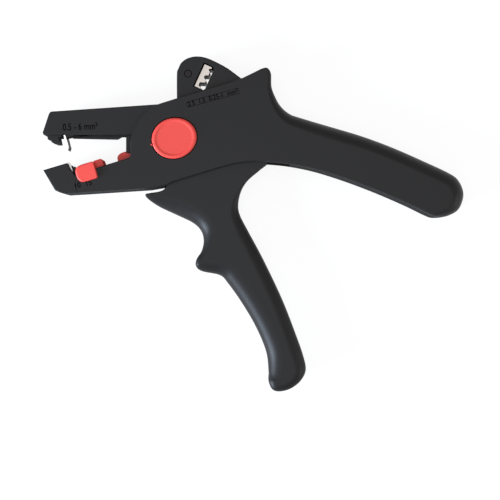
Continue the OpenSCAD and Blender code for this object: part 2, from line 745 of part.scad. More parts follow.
strip_in = 3.5;
strip_front = blade_reach - strip_in;
strip_shares = [[-1, 0], [-0.565, 0], [-0.504, 0.2], [-0.327, 0.2], [-0.327, 1], [-1, 1]];
link_way = [-0.5, 3.4];
module upper_blade_carrier() {
    lift = pull * [cos(slant - jaw_stroke), sin(slant - jaw_stroke)];
    strip_h = strip_top - strip_low;
    color(plastic_black) difference() {
        union() {
            slab(mid - strip_half, mid + strip_half)
                polygon([for (s = strip_shares) [s.x * strip_front, strip_low + s.y * strip_h]]);
            blade_frame() slab(mid - blade_w / 2 + seam, mid + blade_w / 2 - seam)
                span(blade_t, blade_t + foot_l, foot_low, blade_up);
            slab(mid, leg_z + seam)
                span(leg_left + seam, leg_left + leg_w, jaw_under + seam, strip_top - seam);
            slab(leg_z, leg_z + leg_t) difference() {
                span(leg_left, leg_right, leg_low, strip_top);
                slot(link, link + link_way, link_r + layer_gap);
            }
        }
        for (g = guides) slab(0, housing_t) slot(g, g - lift, guide_r + seam);
        upper_rivet_holes();
    }
}

module upper_rivet_holes() {
    for (s = [-1, 1]) blade_frame() translate([-cut, (foot_low + blade_up) / 2, mid + s * rivet_side])
        rotate([0, 90, 0]) cylinder(r = rivet_r, h = cut + blade_t + foot_l);
}

module upper_blade() {
    color(blade_steel) difference() {
        blade_frame() slab(mid - blade_w / 2, mid + blade_w / 2) polygon([[0, 0], [blade_t, edge_l],
            [blade_t, blade_up], [0, blade_up]]);
        upper_rivet_holes();
    }
}

module upper_blade_rivets() {
    color(steel) for (s = [-1, 1]) blade_frame()
        translate([0, (foot_low + blade_up) / 2, mid + s * rivet_side]) rotate([0, 90, 0])
        cylinder(r = rivet_r, h = blade_t + foot_l - seam);
}

// Lever: one rounded handle, and two cheeks with a web between them inside the housing
lever_neck_shares = [[0.34, -0.075, 0.05], [0.03, -0.188, 0.05]];
lever_curve = smooth(placed(lever_shares, lever_reach, lever_round), steps);
lever_path = concat(lever_curve, placed(lever_neck_shares, lever_reach, lever_round));
web_r = 20;
lever_top_shares = [[0.36, -0.06], [0.30, 0.005], [0.20, 0.002], [0.117, 0.004]];
cheek_low = 0.6;
arm_rivet_r = [27, 33];
arm_rivet_angles = [-2, -5];
arm_rivets = [for (i = [0, 1]) polar(arm_rivet_r[i], arm_rivet_angles[i])];
die_rivets = [for (k = [0.2, 0.8]) die_corner(k * die_l, -die_rivet_drop)];
module cheek_outline() {
    ends = flat([lever_curve[0], lever_curve[len(lever_curve) - 1]]);
    polygon(concat([ends[0] + cheek_low * [0.5, -1], ends[1] - cheek_low * [1, 1]],
        lever_reach * lever_top_shares, [polar(lever_hub_r, 15), [0, 0], polar(lever_hub_r, 200)]));
}

module arm_outline() {
    polygon(concat(arc([0, 0], arm_far, arm_low, arm_high, 8), [die_corner(0.87 * die_l, -arm_depth),
        die_corner(0.87 * die_l, -die_root), die_corner(-0.08 * die_l, -die_root),
        die_corner(-0.08 * die_l, -arm_depth)], arc([0, 0], arm_near, 6, arm_low, 5)));
}

// A place along and across the dies, with the lever open
function die_corner(p, q) = let (t = die_turn - lever_stroke)
    [(die_near + p) * cos(t) - q * sin(t), (die_near + p) * sin(t) + q * cos(t)];

module lever() {
    color(plastic_black) difference() {
        union() {
            round_slab(lever_path, levels(low + seam, high - seam, -3, 3));
            for (z = [low, high - cheek_t]) slab(z, z + cheek_t) union() {
                cheek_outline();
                circle(r = lever_hub_r);
            }
            slab(cheek_in - seam, high - cheek_t + seam) difference() {
                cheek_outline();
                circle(r = web_r);
            }
        }
        slab(mid - arm_t / 2 - seam, mid + arm_t / 2 + seam)
            polygon(concat(arc([0, 0], arm_far + seam, arm_low - 0.3, arm_way, 16),
            arc([0, 0], arm_near - seam, arm_way, arm_low - 0.3, 16)));
        pin([0, 0], pivot_r + pin_gap, 0, housing_t);
        pin(drive_place, drive_pin_r, 0, housing_t);
        pin(polar(closing_r, closing_angle), pin_r, 0, housing_t);
        for (p = arm_rivets) pin(p, pin_r, 0, housing_t);
    }
}

module drive_pin() {
    color(steel) pin(drive_place, drive_pin_r, low, high);
}

module closing_pin() {
    color(steel) pin(polar(closing_r, closing_angle), pin_r, low, high);
}

// Pressure spring between the closing pin and the tail pin, under the legs of the torsion spring
coil_r = 0.9;
coil_wire = 0.22;
coil_turns = 6;
module jaw_spring() {
    a = polar(closing_r, closing_angle);
    b = polar(closing_r, tail_pin_angle);
    d = (b - a) / norm(b - a);
    n = [-d.y, d.x];
    from = a + d * (pin_r + seam + coil_wire);
    to = b - d * (pin_r + seam);
    z = mid - inner_half + seam + coil_r + coil_wire;
    color(steel) wire([for (i = [0:coil_turns * 8]) let (p = from + (to - from) * i / coil_turns / 8,
        q = p + n * coil_r * cos(45 * i)) [q.x, q.y, z + coil_r * sin(45 * i)]], coil_wire, 6);
}

module crimp_arm() {
    color(steel) difference() {
        slab(mid - arm_t / 2, mid + arm_t / 2) arm_outline();
        for (p = arm_rivets) pin(p, pin_r, 0, housing_t);
        for (p = die_rivets) pin(p, rivet_r, 0, housing_t);
    }
}

module crimp_arm_rivets() {
    color(steel) for (p = arm_rivets) pin(p, pin_r, low, high);
}

// Notches of the fixed die: [place along the die, half width, depth past its face]
notch_shares = [[0.17, 0.14, 0.2], [0.53, 0.105, 0.13], [0.87, 0.07, 0.08]];
module moving_crimp_die() {
    color(blade_steel) rotate([0, 0, die_turn - lever_stroke]) translate([die_near, 0, 0]) difference() {
        union() {
            slab(mid - die_half, mid + die_half) {
                span(die_end, die_l - die_end, -die_root, die_face - layer_gap);
                for (s = notch_shares) polygon([[(s.x - s.y) * die_l + punch_gap, die_face - punch_gap],
                    [(s.x + s.y) * die_l - punch_gap, die_face - punch_gap],
                    [s.x * die_l, die_face + s.z * die_l - punch_gap]]);
            }
            for (z = [mid - die_half, mid + arm_t / 2 + seam / 2])
                slab(z, z + die_half - arm_t / 2 - seam / 2)
                span(die_end, 0.9 * die_l, -die_cheek, -die_root + seam);
        }
        for (k = [0.2, 0.8]) pin([k * die_l, -die_rivet_drop], rivet_r, 0, housing_t);
    }
}

module moving_die_rivets() {
    color(steel) for (p = die_rivets) pin(p, rivet_r, mid - die_half, mid + die_half);
}

// Ear between the shells, with the window of the fixed die and room for the moving one
module ear_outline() {
    polygon(concat(smooth(ear_reach * ear_shares, 4), [ear_foot, bar(ear_foot.x + boss_r * 3, ear_low),
        bar(ear_back - boss_r, ear_low), bar(ear_back, bar_top - wall - seam),
        bar(ear_back - 2 * boss_r, bar_top - wall - seam)]));
    translate(screw_a) circle(r = boss_r + ear_ring);
    translate(screw_b) circle(r = boss_r + ear_ring);
}

module die_frame() {
    rotate([0, 0, die_turn]) translate([die_near, 0, 0]) children();
}

window_shares = [[-0.01, -0.2], [0.06, -0.31], [0.91, -0.31], [1.01, -0.18]];
module crimp_frame() {
    color(plastic_black) difference() {
        slab(low, high) ear_outline();
        // Curved way of the arm and the moving die
        slab(mid - slot_half, mid + slot_half) polygon(concat(arc([0, 0], slot_far, 4, die_turn, 24),
            arc([0, 0], slot_near, die_turn, 4, 24)));
        // Window through both walls
        die_frame() slab(0, housing_t) polygon(concat([[-seam, die_side + 2 * seam]],
            [for (s = window_shares) [s.x * die_l, s.y / 0.31 * window_side]],
            [[die_l + seam, die_side + 2 * seam]]));
        die_frame() slab(mid - die_half, mid + die_half)
            span(shank_near - seam, shank_far + seam, 0, shank_l + seam);
        pin(frame_pin, pin_r, 0, housing_t);
        for (p = [screw_a, screw_b]) pin(p, boss_r + seam, 0, housing_t);
    }
}

module crimp_frame_pin() {
    color(steel) pin(frame_pin, pin_r, low, high);
}

module fixed_crimp_die() {
    color(blade_steel) difference() {
        die_frame() {
            slab(low + tab_over, high - tab_over) difference() {
                span(0, die_l, die_face, die_side);
                for (s = notch_shares) polygon([[(s.x - s.y) * die_l, die_face - cut],
                    [(s.x - s.y) * die_l, die_face], [(s.x - s.y / 2) * die_l, die_face + s.z * die_l],
                    [(s.x + s.y / 2) * die_l, die_face + s.z * die_l], [(s.x + s.y) * die_l, die_face],
                    [(s.x + s.y) * die_l, die_face - cut]]);
            }
            slab(mid - shank_half, mid + shank_half) span(shank_near, shank_far, die_side - seam, shank_l);
        }
        pin(frame_pin, pin_r, 0, housing_t);
    }
}

front_shell();
rear_shell();
front_cap();
rear_cap();
main_pivot_pin();
pivot_clip();
pivot_bush();
return_spring();
housing_screws();
lower_jaw_tip();
jaw_tip_pin();
lower_blade_carrier();
lower_blade_holder();
lower_blade();
lower_blade_rivets();
carrier_link_pin();
length_stop();
stop_spring();
upper_jaw();
upper_clamp_pad();
clamp_pad_pin();
jaw_guide_pins();
tail_pin();
upper_blade_carrier();
upper_blade();
upper_blade_rivets();
lever();
drive_pin();
closing_pin();
jaw_spring();
crimp_arm();
crimp_arm_rivets();
moving_crimp_die();
moving_die_rivets();
crimp_frame();
crimp_frame_pin();
fixed_crimp_die();
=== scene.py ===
"""Looks of an automatic wire stripper, made over its packed construction model.

All shapes are worked out in millimetres in the model's own frame, in which the tool lies on its
rear side with the pivot axis at the origin, and become metres when their meshes are made."""
import json
import math

import bmesh
import bpy
import numpy as np
from bpy.props import FloatProperty, FloatVectorProperty, IntProperty, PointerProperty
from mathutils import Matrix, Vector

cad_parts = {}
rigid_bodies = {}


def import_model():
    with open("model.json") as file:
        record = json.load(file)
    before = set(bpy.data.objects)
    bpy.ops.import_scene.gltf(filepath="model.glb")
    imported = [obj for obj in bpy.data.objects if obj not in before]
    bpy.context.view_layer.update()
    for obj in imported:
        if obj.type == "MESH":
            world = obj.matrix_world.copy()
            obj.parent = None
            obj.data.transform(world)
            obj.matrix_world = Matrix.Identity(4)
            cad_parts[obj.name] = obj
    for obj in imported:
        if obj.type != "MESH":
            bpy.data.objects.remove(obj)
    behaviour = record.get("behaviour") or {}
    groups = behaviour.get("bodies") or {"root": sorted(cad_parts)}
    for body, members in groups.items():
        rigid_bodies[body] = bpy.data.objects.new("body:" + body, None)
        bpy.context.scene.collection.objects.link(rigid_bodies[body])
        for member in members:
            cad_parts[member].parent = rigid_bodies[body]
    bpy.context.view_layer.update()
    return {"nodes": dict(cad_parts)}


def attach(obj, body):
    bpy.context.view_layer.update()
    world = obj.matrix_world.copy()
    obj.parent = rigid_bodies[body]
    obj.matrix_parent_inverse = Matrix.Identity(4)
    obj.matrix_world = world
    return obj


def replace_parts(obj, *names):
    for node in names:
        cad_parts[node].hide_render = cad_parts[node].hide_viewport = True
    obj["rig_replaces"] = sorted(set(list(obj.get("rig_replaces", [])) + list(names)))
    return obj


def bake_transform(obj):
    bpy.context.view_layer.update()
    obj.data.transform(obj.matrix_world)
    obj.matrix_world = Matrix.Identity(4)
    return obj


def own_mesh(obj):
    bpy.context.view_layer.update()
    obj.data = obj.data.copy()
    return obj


bl_info = {
    "name": "Wire stripper looks",
    "version": (1, 0, 0),
    "blender": (4, 5, 0),
    "location": "View3D > Sidebar > Stripper",
    "description": "Builds the moulded, ground and sprung pieces of a wire stripper",
    "category": "Object",
}

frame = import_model()

# Sizes of the construction model, in millimetres and degrees
# Housing: thickness, wall, levels of the room, cheeks of the lever and plates of the jaw
THICK = 20.0
MID = THICK / 2
WALL = 2.6
LOW, HIGH = 3.0, 17.0
CHEEK = 2.4
PLATE_OUT, PLATE_IN, PLATE_T = 5.7, 8.0, 2.3
THROUGH = (-1.0, THICK + 1.0)

# Outline of the housing: round front, slanted bar, handle, jaw with its slit, and ear
FRONT_R = 20.8
BAR_TOP, BAR_BOTTOM, BAR_L = 17.6, 19.3, 39.05
SLANT = 17.2
HANDLE_REACH = 137.0
LEVER_REACH = 119.5
EAR_REACH = 38.9
BLADE_REACH = 52.5
JAW_REACH = BLADE_REACH + 9.8
SLIT_U = -50.42
SLIT_EDGE = 0.12

# Pivot: axle, hub, oval cap and the room around the cap
PIVOT_R = 4.0
HUB_R = 10.2
CAP_A, CAP_B, CAP_TURN = 10.7, 9.6, 16.0
CAP_ROOM = 0.3

# Motion: strokes, radii at which the pins drive, angles of the closing and the tail pin
JAW_STROKE = 10.5
LEVER_STROKE = 32.0
DRIVE_R, CLOSING_R = 14.5, 15.0
PULL = 2 * DRIVE_R * math.sin(math.radians(LEVER_STROKE / 2))
CLOSING_ANGLE, TAIL_ANGLE = -25.0, 19.6

# Holes and pins: screws, their heads and bosses, small pins, and places
SCREW_R, HEAD_R, HEAD_DEEP, BOSS_R = 1.45, 2.5, 1.3, 2.3
TIP_PIN_R, TAIL_PIN_R, RIVET_R, FRAME_PIN_R = 1.1, 1.1, 0.8, 1.53
GUIDES = ((-37.01, 3.9), (-25.04, 4.5))
PAD_PIN = (-57.5, 4.67)
LINK = np.array([-18.9, -4.0])
POST = (1.1, 13.0)
FRAME_PIN = EAR_REACH * np.array([0.162, 0.788])

# Levels of the blades and their rivets, the upper slide's strip and leg, and the stop's tab
BLADE_LOW, BLADE_HIGH = 5.0, 15.0
RIVET_LEVELS = (MID - 2.5, MID + 2.5)
STRIP_LOW, STRIP_HIGH = 8.4, 11.6
LEG_LOW, LEG_HIGH = 13, 14.2
TAB_LOW, TAB_HIGH = 20.15, 21.65
STOP_U = -40.0

# Dies: length, distance from the pivot, turn, face, back, and levels of the moving one
DIE_L, DIE_NEAR, DIE_TURN = 11.5, 26.5, 65.2
DIE_FACE, DIE_SIDE = -1.9, 2.0
DIE_LOW, DIE_HIGH = 7.3, 12.7

# Plain figures, engraved: height as a share of the font's size, added boldness, depth, depth of a rim
FIGURE_SHARE = 0.61
FIGURE_BOLD = 0.05
FIGURE_DEPTH = 0.3
RIM_DEPTH = 0.2

# Outlines: x share, y share and rounding share, of the reach that they follow
HANDLE = np.array([
    [0.209, -0.086, 0.1], [0.259, -0.080, 0.1], [0.309, -0.080, 0.1], [0.394, -0.088, 0.1],
    [0.487, -0.107, 0.1], [0.592, -0.140, 0.1], [0.698, -0.180, 0.1], [0.802, -0.225, 0.12],
    [0.876, -0.262, 0.3], [0.902, -0.270, 0.45], [0.938, -0.266, 0.6], [0.975, -0.248, 0.75],
    [0.994, -0.219, 0.9], [1.0, -0.183, 1.0], [0.984, -0.143, 1.0], [0.953, -0.117, 1.0],
    [0.864, -0.075, 1.0], [0.757, -0.028, 1.0], [0.650, 0.012, 1.0], [0.540, 0.045, 1.0],
    [0.434, 0.076, 0.9], [0.396, 0.089, 0.8], [0.365, 0.114, 0.6], [0.345, 0.147, 0.45],
    [0.333, 0.180, 0.3], [0.331, 0.223, 0.2], [0.318, 0.242, 0.15], [0.299, 0.239, 0.1]])
LEVER = np.array([
    [-0.029, -0.176, 0.05], [-0.039, -0.196, 0.05], [-0.059, -0.207, 0.05],
    [-0.100, -0.214, 0.05], [-0.116, -0.219, 0.08], [-0.107, -0.236, 0.25],
    [-0.063, -0.267, 0.7], [0.005, -0.299, 1.0], [0.069, -0.330, 1.0], [0.102, -0.362, 0.9],
    [0.113, -0.402, 0.6], [0.105, -0.443, 0.4], [0.086, -0.474, 0.28], [0.083, -0.502, 0.35],
    [0.107, -0.523, 0.6], [0.177, -0.539, 0.9], [0.209, -0.571, 1.0], [0.265, -0.650, 1.0],
    [0.321, -0.746, 1.0], [0.361, -0.843, 1.0], [0.371, -0.922, 0.8], [0.371, -0.961, 0.5],
    [0.387, -0.992, 0.42], [0.418, -0.999, 0.45], [0.461, -0.987, 0.5], [0.499, -0.957, 0.6],
    [0.519, -0.915, 0.7], [0.509, -0.859, 0.75], [0.481, -0.778, 0.75], [0.425, -0.634, 0.75],
    [0.349, -0.474, 0.75], [0.289, -0.362, 0.7], [0.257, -0.299, 0.6], [0.250, -0.255, 0.4],
    [0.261, -0.203, 0.15], [0.286, -0.161, 0.05], [0.329, -0.123, 0.05], [0.364, -0.096, 0.05]])
LEVER_TOP = np.array([[0.36, -0.06], [0.30, 0.005], [0.20, 0.002], [0.117, 0.004]])
EAR = np.array([
    [0.815, 0.725], [0.753, 0.774], [0.645, 0.853], [0.522, 0.922], [0.378, 0.984], [0.258, 1.0],
    [0.152, 0.976], [0.079, 0.922], [0.042, 0.848], [0.026, 0.781], [0.026, 0.474]])
TAB = np.array([
    [1, 0.88, 0.5], [0.975, 0.955, 0.5], [0.92, 0.995, 0.6], [0.78, 1, 0.8], [0.36, 1, 1], [0.12, 0.92, 1],
    [0.015, 0.72, 1], [0, 0.5, 1], [0.02, 0.26, 1], [0.15, 0.05, 1], [0.38, 0, 0.9], [0.78, 0, 0.8],
    [0.92, 0.005, 0.6], [0.975, 0.045, 0.5], [1, 0.12, 0.5]])
HUMP = np.array([[1, 0], [1.03, 0.4], [1.02, 0.72], [0.94, 0.93], [0.75, 1], [0.45, 1], [0.2, 0.9],
                 [0.05, 0.7], [0, 0.45], [0, 0]])
# Notches of the fixed die: place along it, half width and depth, as shares of its length
NOTCHES = [(0.17, 0.14, 0.2), (0.53, 0.105, 0.13), (0.87, 0.07, 0.08)]


# Places
def turned_by(points, angle):
    """Rows of places turned about the origin: x is u cos a - v sin a, y is u sin a + v cos a."""
    c, s = math.cos(math.radians(angle)), math.sin(math.radians(angle))
    return np.atleast_2d(np.asarray(points, float)) @ np.array([[c, s], [-s, c]])


def along(points):
    """Places along and across the slanted bar, turned by the slant into the model's frame."""
    return turned_by(points, SLANT)


def polar(r, a):
    """A place at radius r and angle a, in degrees, about the pivot."""
    return np.array([r * math.cos(math.radians(a)), r * math.sin(math.radians(a))])


def arc(r, a0, a1, n, centre=(0, 0)):
    """n + 1 places on a circle of radius r from angle a0 to a1: centre plus r (cos a, sin a)."""
    a = np.radians(np.linspace(a0, a1, n + 1))
    return np.array(centre) + r * np.stack([np.cos(a), np.sin(a)], 1)


def through(points, n):
    """Smooth curve through every row: on each stretch a cubic in t whose slope at a point is half
    the step between its two neighbours."""
    p = np.asarray(points, float)
    q = chained(p[:1], p, p[-1:])
    a, b, c, d = q[:-3, None], q[1:-2, None], q[2:-1, None], q[3:, None]
    t = (np.arange(n) / n)[None, :, None]
    rows = b + t / 2 * ((c - a) + t * ((2 * a - 5 * b + 4 * c - d) + t * (3 * (b - c) + d - a)))
    return chained(rows.reshape(-1, p.shape[1]), p[-1:])


def outward(path):
    """Unit vectors square to the step between both neighbours, outward on an anticlockwise path."""
    d = np.roll(path[:, :2], -1, 0) - np.roll(path[:, :2], 1, 0)
    return np.stack([d[:, 1], -d[:, 0]], 1) / np.linalg.norm(d, axis=1)[:, None]


def chained(*parts):
    """Rows of several tables, one table after another."""
    return np.concatenate(parts)


def with_width(points, width):
    """Outline points with one rounding width for all of them as a third column."""
    p = np.atleast_2d(np.asarray(points, float))
    return np.concatenate([p, np.full((len(p), 1), float(width))], 1)


def box_outline(u0, u1, v0, v1):
    """The four corners of a rectangle, anticlockwise."""
    return np.array([[u0, v0], [u1, v0], [u1, v1], [u0, v1]], float)


def slot_outline(p, q, r, n=12):
    """Outline of a slot with round ends of radius r about p and q."""
    p, q = np.asarray(p, float), np.asarray(q, float)
    a = math.degrees(math.atan2(q[1] - p[1], q[0] - p[0]))
    return chained(arc(r, a + 90, a + 270, n, p), arc(r, a - 90, a + 90, n, q))


def anticlockwise(points):
    """The outline in the order in which its signed area is positive."""
    p = np.asarray(points, float)
    q = np.roll(p, -1, 0)
    return p if (p[:, 0] * q[:, 1] - q[:, 0] * p[:, 1]).sum() > 0 else p[::-1]


# Meshes
def linked(name, data):
    """An object of a mesh, curve, light or camera, linked to the scene at the origin."""
    obj = bpy.data.objects.new(name, data)
    bpy.context.scene.collection.objects.link(obj)
    return obj


def discard(obj):
    """Removes an object with its mesh."""
    mesh = obj.data
    bpy.data.objects.remove(obj)
    bpy.data.meshes.remove(mesh)


def new_object(name, verts, faces):
    """A mesh of places in millimetres, made metres, as an object at the origin."""
    mesh = bpy.data.meshes.new(name)
    mesh.from_pydata((np.asarray(verts, float) * 0.001).tolist(), [], faces)
    mesh.update()
    return linked(name, mesh)


def ring_faces(m, n):
    """Quads between m rings of n points that run anticlockwise and upwards."""
    i = np.arange(n)
    j = (i + 1) % n
    k = np.arange(m - 1)[:, None] * n
    return np.stack([k + i, k + j, k + n + j, k + n + i], 2).reshape(-1, 4).tolist()


def stacked(name, rings):
    """Closed solid of rings (level, point, xyz): quads between the levels, flat lids at both ends."""
    m, n = rings.shape[:2]
    lids = [list(range(n - 1, -1, -1)), list(range((m - 1) * n, m * n))]
    return new_object(name, rings.reshape(-1, 3), ring_faces(m, n) + lids)


def rounded_rings(path, z_wall, z_face, steps, depth=None):
    """Rings of an edge that turns from the wall into the face: at angle t from 0 to 90 degrees a
    point is drawn in by width (1 - cos t) and stands depth (1 - sin t) short of the face."""
    out, width = outward(path), path[:, 2:3]
    if depth is None:
        depth = np.minimum(width, abs(z_face - z_wall) * 0.97)
    depth = np.broadcast_to(depth, width.shape)
    sign = math.copysign(1, z_face - z_wall)
    t = np.linspace(0, math.pi / 2, steps + 1)[:, None, None]
    flat = path[None, :, :2] - out[None] * width[None] * (1 - np.cos(t))
    z = z_face - sign * depth[None] * (1 - np.sin(t))
    rings = np.concatenate([flat, np.broadcast_to(z, flat.shape[:2] + (1,))], 2)
    foot = np.concatenate([path[:, :2], np.full((len(path), 1), z_wall)], 1)[None]
    return chained(foot, rings)


def half_shell(name, path, z_wall, z_face, steps, depth=None):
    """Slab with one rounded edge; below the middle its rings are taken in reverse, so that they
    still run upwards."""
    rings = rounded_rings(path, z_wall, z_face, steps, depth)
    return stacked(name, rings if z_face > z_wall else rings[::-1])


def full_slab(name, path, z0, z1, steps=3, depth=None):
    """Slab whose lower and upper edges are both rounded."""
    mid = (z0 + z1) / 2
    upper = rounded_rings(path, mid, z1, steps, depth)[1:]
    lower = rounded_rings(path, mid, z0, steps, depth)[1:][::-1]
    return stacked(name, chained(lower, upper))


def plain_slab(name, outline, z0, z1, *between):
    """Straight slab of an outline from z0 to z1, with rings at the levels between."""
    p = anticlockwise(np.asarray(outline, float)[:, :2])
    levels = [z0, *between, z1]
    return stacked(name, np.stack([np.column_stack([p, np.full(len(p), z)]) for z in levels]))


def turned(name, profile, centre=(0, 0), sides=96, a=1.0, b=1.0, turn=0.0):
    """Rows of (radius, height) carried round an axis: x is a r cos t, y is b r sin t."""
    t = np.linspace(0, 2 * math.pi, sides, endpoint=False)
    p = np.asarray(profile, float)
    x, y = a * p[:, :1] * np.cos(t), b * p[:, :1] * np.sin(t)
    c, s = math.cos(math.radians(turn)), math.sin(math.radians(turn))
    rings = np.stack([centre[0] + c * x - s * y, centre[1] + s * x + c * y,
                      np.broadcast_to(p[:, 1:], x.shape)], 2)
    return stacked(name, rings)


def round_pin(name, centre, r, z0, z1, ease=0.15, sides=48):
    """Pin along Z with both end edges eased: radius r less the ease at the ends, r between."""
    profile = [[r - ease, z0], [r, z0 + ease], [r, z1 - ease], [r - ease, z1]]
    return turned(name, profile, centre, sides)


def bore(centre, r, z0=THROUGH[0], z1=THROUGH[1], sides=48):
    """Cutter of a round hole from z0 to z1, through everything unless they are given."""
    return turned("bore", [[r, z0], [r, z1]], centre, sides)


def axle_bore():
    """Cutter of the hole round the axle."""
    return bore((0, 0), PIVOT_R + 0.05, sides=64)


def tube(name, path, r, sides=12):
    """Round wire: at each place of the path a circle of radius r square to the local direction."""
    p = np.asarray(path, float)
    d = np.gradient(p, axis=0)
    d /= np.linalg.norm(d, axis=1)[:, None]
    u = np.cross([0.0, 0.0, 1.0], d)
    long = np.linalg.norm(u, axis=1)[:, None]
    u = np.where(long > 1e-9, u / np.maximum(long, 1e-9), [1.0, 0.0, 0.0])
    w = np.cross(d, u)
    t = np.linspace(0, 2 * math.pi, sides, endpoint=False)[None, :, None]
    return stacked(name, p[:, None] + r * (u[:, None] * np.cos(t) + w[:, None] * np.sin(t)))


def numbers(text, place, turn, height, narrow, z0, z1):
    """Cutter of a line of plain figures, centred on a place, from level z0 to z1."""
    curve = bpy.data.curves.new("numbers", "FONT")
    curve.body = text
    curve.size = height / FIGURE_SHARE * 0.001
    curve.align_x, curve.align_y = "CENTER", "CENTER"
    curve.extrude = (z1 - z0) / 2 * 0.001
    curve.offset = FIGURE_BOLD * 0.001
    curve.resolution_u = 4
    source = linked("numbers", curve)
    mesh = bpy.data.meshes.new_from_object(
        source.evaluated_get(bpy.context.evaluated_depsgraph_get()))
    bpy.data.objects.remove(source)
    bpy.data.curves.remove(curve)
    mesh.transform(Matrix.Translation(Vector((*place, (z0 + z1) / 2)) * 0.001)
                   @ Matrix.Rotation(math.radians(turn), 4, "Z") @ Matrix.Diagonal((narrow, 1, 1, 1)))
    welded = bmesh.new()
    welded.from_mesh(mesh)
    bmesh.ops.remove_doubles(welded, verts=welded.verts, dist=1e-6)
    bmesh.ops.recalc_face_normals(welded, faces=welded.faces)
    welded.to_mesh(mesh)
    welded.free()
    return linked("numbers", mesh)


def settle(obj):
    """Puts the result of the modifiers into the mesh."""
    graph = bpy.context.evaluated_depsgraph_get()
    mesh = bpy.data.meshes.new_from_object(obj.evaluated_get(graph))
    old = obj.data
    obj.modifiers.clear()
    obj.data = mesh
    bpy.data.meshes.remove(old)
    return obj


def carve(obj, cutters, operation="DIFFERENCE"):
    """Takes the cutters out of a solid, or adds them to it, one after another."""
    for cutter in cutters:
        step = obj.modifiers.new("carve", "BOOLEAN")
        step.operation, step.solver, step.object = operation, "EXACT", cutter
        settle(obj)
        discard(cutter)
    return obj


def together(name, parts):
    """One object that holds the closed meshes of all parts."""
    joined = bmesh.new()
    for part in parts:
        joined.from_mesh(part.data)
    mesh = bpy.data.meshes.new(name)
    joined.to_mesh(mesh)
    joined.free()
    for part in parts:
        discard(part)
    return linked(name, mesh)


def ease_edges(obj, width, angle, segments=2):
    """Small rounding of every edge that turns by more than the angle."""
    step = obj.modifiers.new("ease", "BEVEL")
    step.width, step.segments, step.limit_method = width * 0.001, segments, "ANGLE"
    step.angle_limit = math.radians(angle)
    step.use_clamp_overlap = True
    step.miter_outer = "MITER_ARC"
    return settle(obj)


def face_arrays(mesh):
    """Centres, in millimetres, and normals of all faces."""
    centres, normals = np.empty((2, len(mesh.polygons) * 3), np.float32)
    mesh.polygons.foreach_get("center", centres)
    mesh.polygons.foreach_get("normal", normals)
    return centres.reshape(-1, 3) * 1000, normals.reshape(-1, 3)


def finish_piece(obj, body, node, material, angle, *others):
    """Shading, material, body and construction node of a finished piece. Each of the others is the
    name of a material and a chooser of its faces, which takes their centres and normals."""
    mesh = obj.data
    mesh.materials.clear()
    mesh.materials.append(surface(material))
    index = np.zeros(len(mesh.polygons), np.int32)
    for number, (other, chosen) in enumerate(others, 1):
        mesh.materials.append(surface(other))
        index[chosen(*face_arrays(mesh))] = number
    mesh.polygons.foreach_set("material_index", index)
    mesh.shade_smooth()
    mesh.set_sharp_from_angle(angle=math.radians(angle))
    step = obj.modifiers.new("even shading", "WEIGHTED_NORMAL")
    step.keep_sharp = True
    step.weight = 60
    settle(obj)
    if body:
        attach(obj, body)
    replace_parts(obj, node)
    return obj


def upright(centres, normals):
    """Chooses the faces that stand upright or nearly so."""
    return np.abs(normals[:, 2]) < 0.06


def finish_plastic(obj, colour, body, node, angle, *others):
    """Finishes a black or red moulded piece, whose upright walls are more matt than the rest: they get a
    copy of the plastic with little gloss and a lighter colour, as painted shade that keeps them dark from
    above and painted light that keeps them from going black from the side.
    """
    return finish_piece(obj, body, node, colour + "_moulded_plastic", angle,
                        (colour + "_plastic_walls", upright), *others)


# Materials
def wire_up(tree, pairs):
    """Links node outputs to node inputs."""
    for source, target in pairs:
        tree.links.new(source, target)


def set_inputs(node, values):
    """Sets inputs of a node by their names, and gives the node back."""
    for name, value in values.items():
        node.inputs[name].default_value = value
    return node


def new_node(tree, kind, values=None):
    """A shader node of a kind, with the values of its inputs."""
    return set_inputs(tree.nodes.new("ShaderNode" + kind), values or {})


def new_material(name):
    """A material with its node tree, its shader and its place in object coordinates."""
    material = bpy.data.materials.new(name)
    material.use_nodes = True
    tree = material.node_tree
    place = new_node(tree, "TexCoord")
    return material, tree, tree.nodes["Principled BSDF"], place.outputs["Object"]


def noise_at(tree, place, scale, detail):
    """Soft cloud pattern over a place."""
    noise = new_node(tree, "TexNoise", {"Scale": scale, "Detail": detail, "Roughness": 0.6})
    wire_up(tree, [(place, noise.inputs["Vector"])])
    return noise.outputs["Fac"]


def bumped(tree, height, shader, strength, distance):
    """The pattern as a bump on the shader's normal."""
    bump = new_node(tree, "Bump", {"Strength": strength, "Distance": distance})
    wire_up(tree, [(height, bump.inputs["Height"]), (bump.outputs["Normal"], shader.inputs["Normal"])])


def span(tree, source, low, high):
    """Maps a pattern from 0..1 onto low..high."""
    node = new_node(tree, "MapRange", {"To Min": low, "To Max": high})
    wire_up(tree, [(source, node.inputs["Value"])])
    return node.outputs["Result"]


def moulded(name, colour, rough, grain, depth, specular, mottle):
    """Moulded plastic: spark-eroded grain, uneven gloss and faintly mottled colour."""
    material, tree, shader, place = new_material(name)
    set_inputs(shader, {"Base Color": (*colour, 1), "Specular IOR Level": specular})
    bumped(tree, noise_at(tree, place, grain, 3.0), shader, depth, 0.00005)
    cloud = noise_at(tree, place, 260.0, 5.0)
    tint = new_node(tree, "Mix")
    tint.data_type = "RGBA"
    set_inputs(tint, {"A": (*[c * (1 - mottle) for c in colour], 1),
                      "B": (*[min(1, c * (1 + mottle)) for c in colour], 1)})
    wire_up(tree, [(span(tree, cloud, rough - 0.06, rough + 0.06), shader.inputs["Roughness"]),
                   (cloud, tint.inputs["Factor"]), (tint.outputs["Result"], shader.inputs["Base Color"])])
    return material


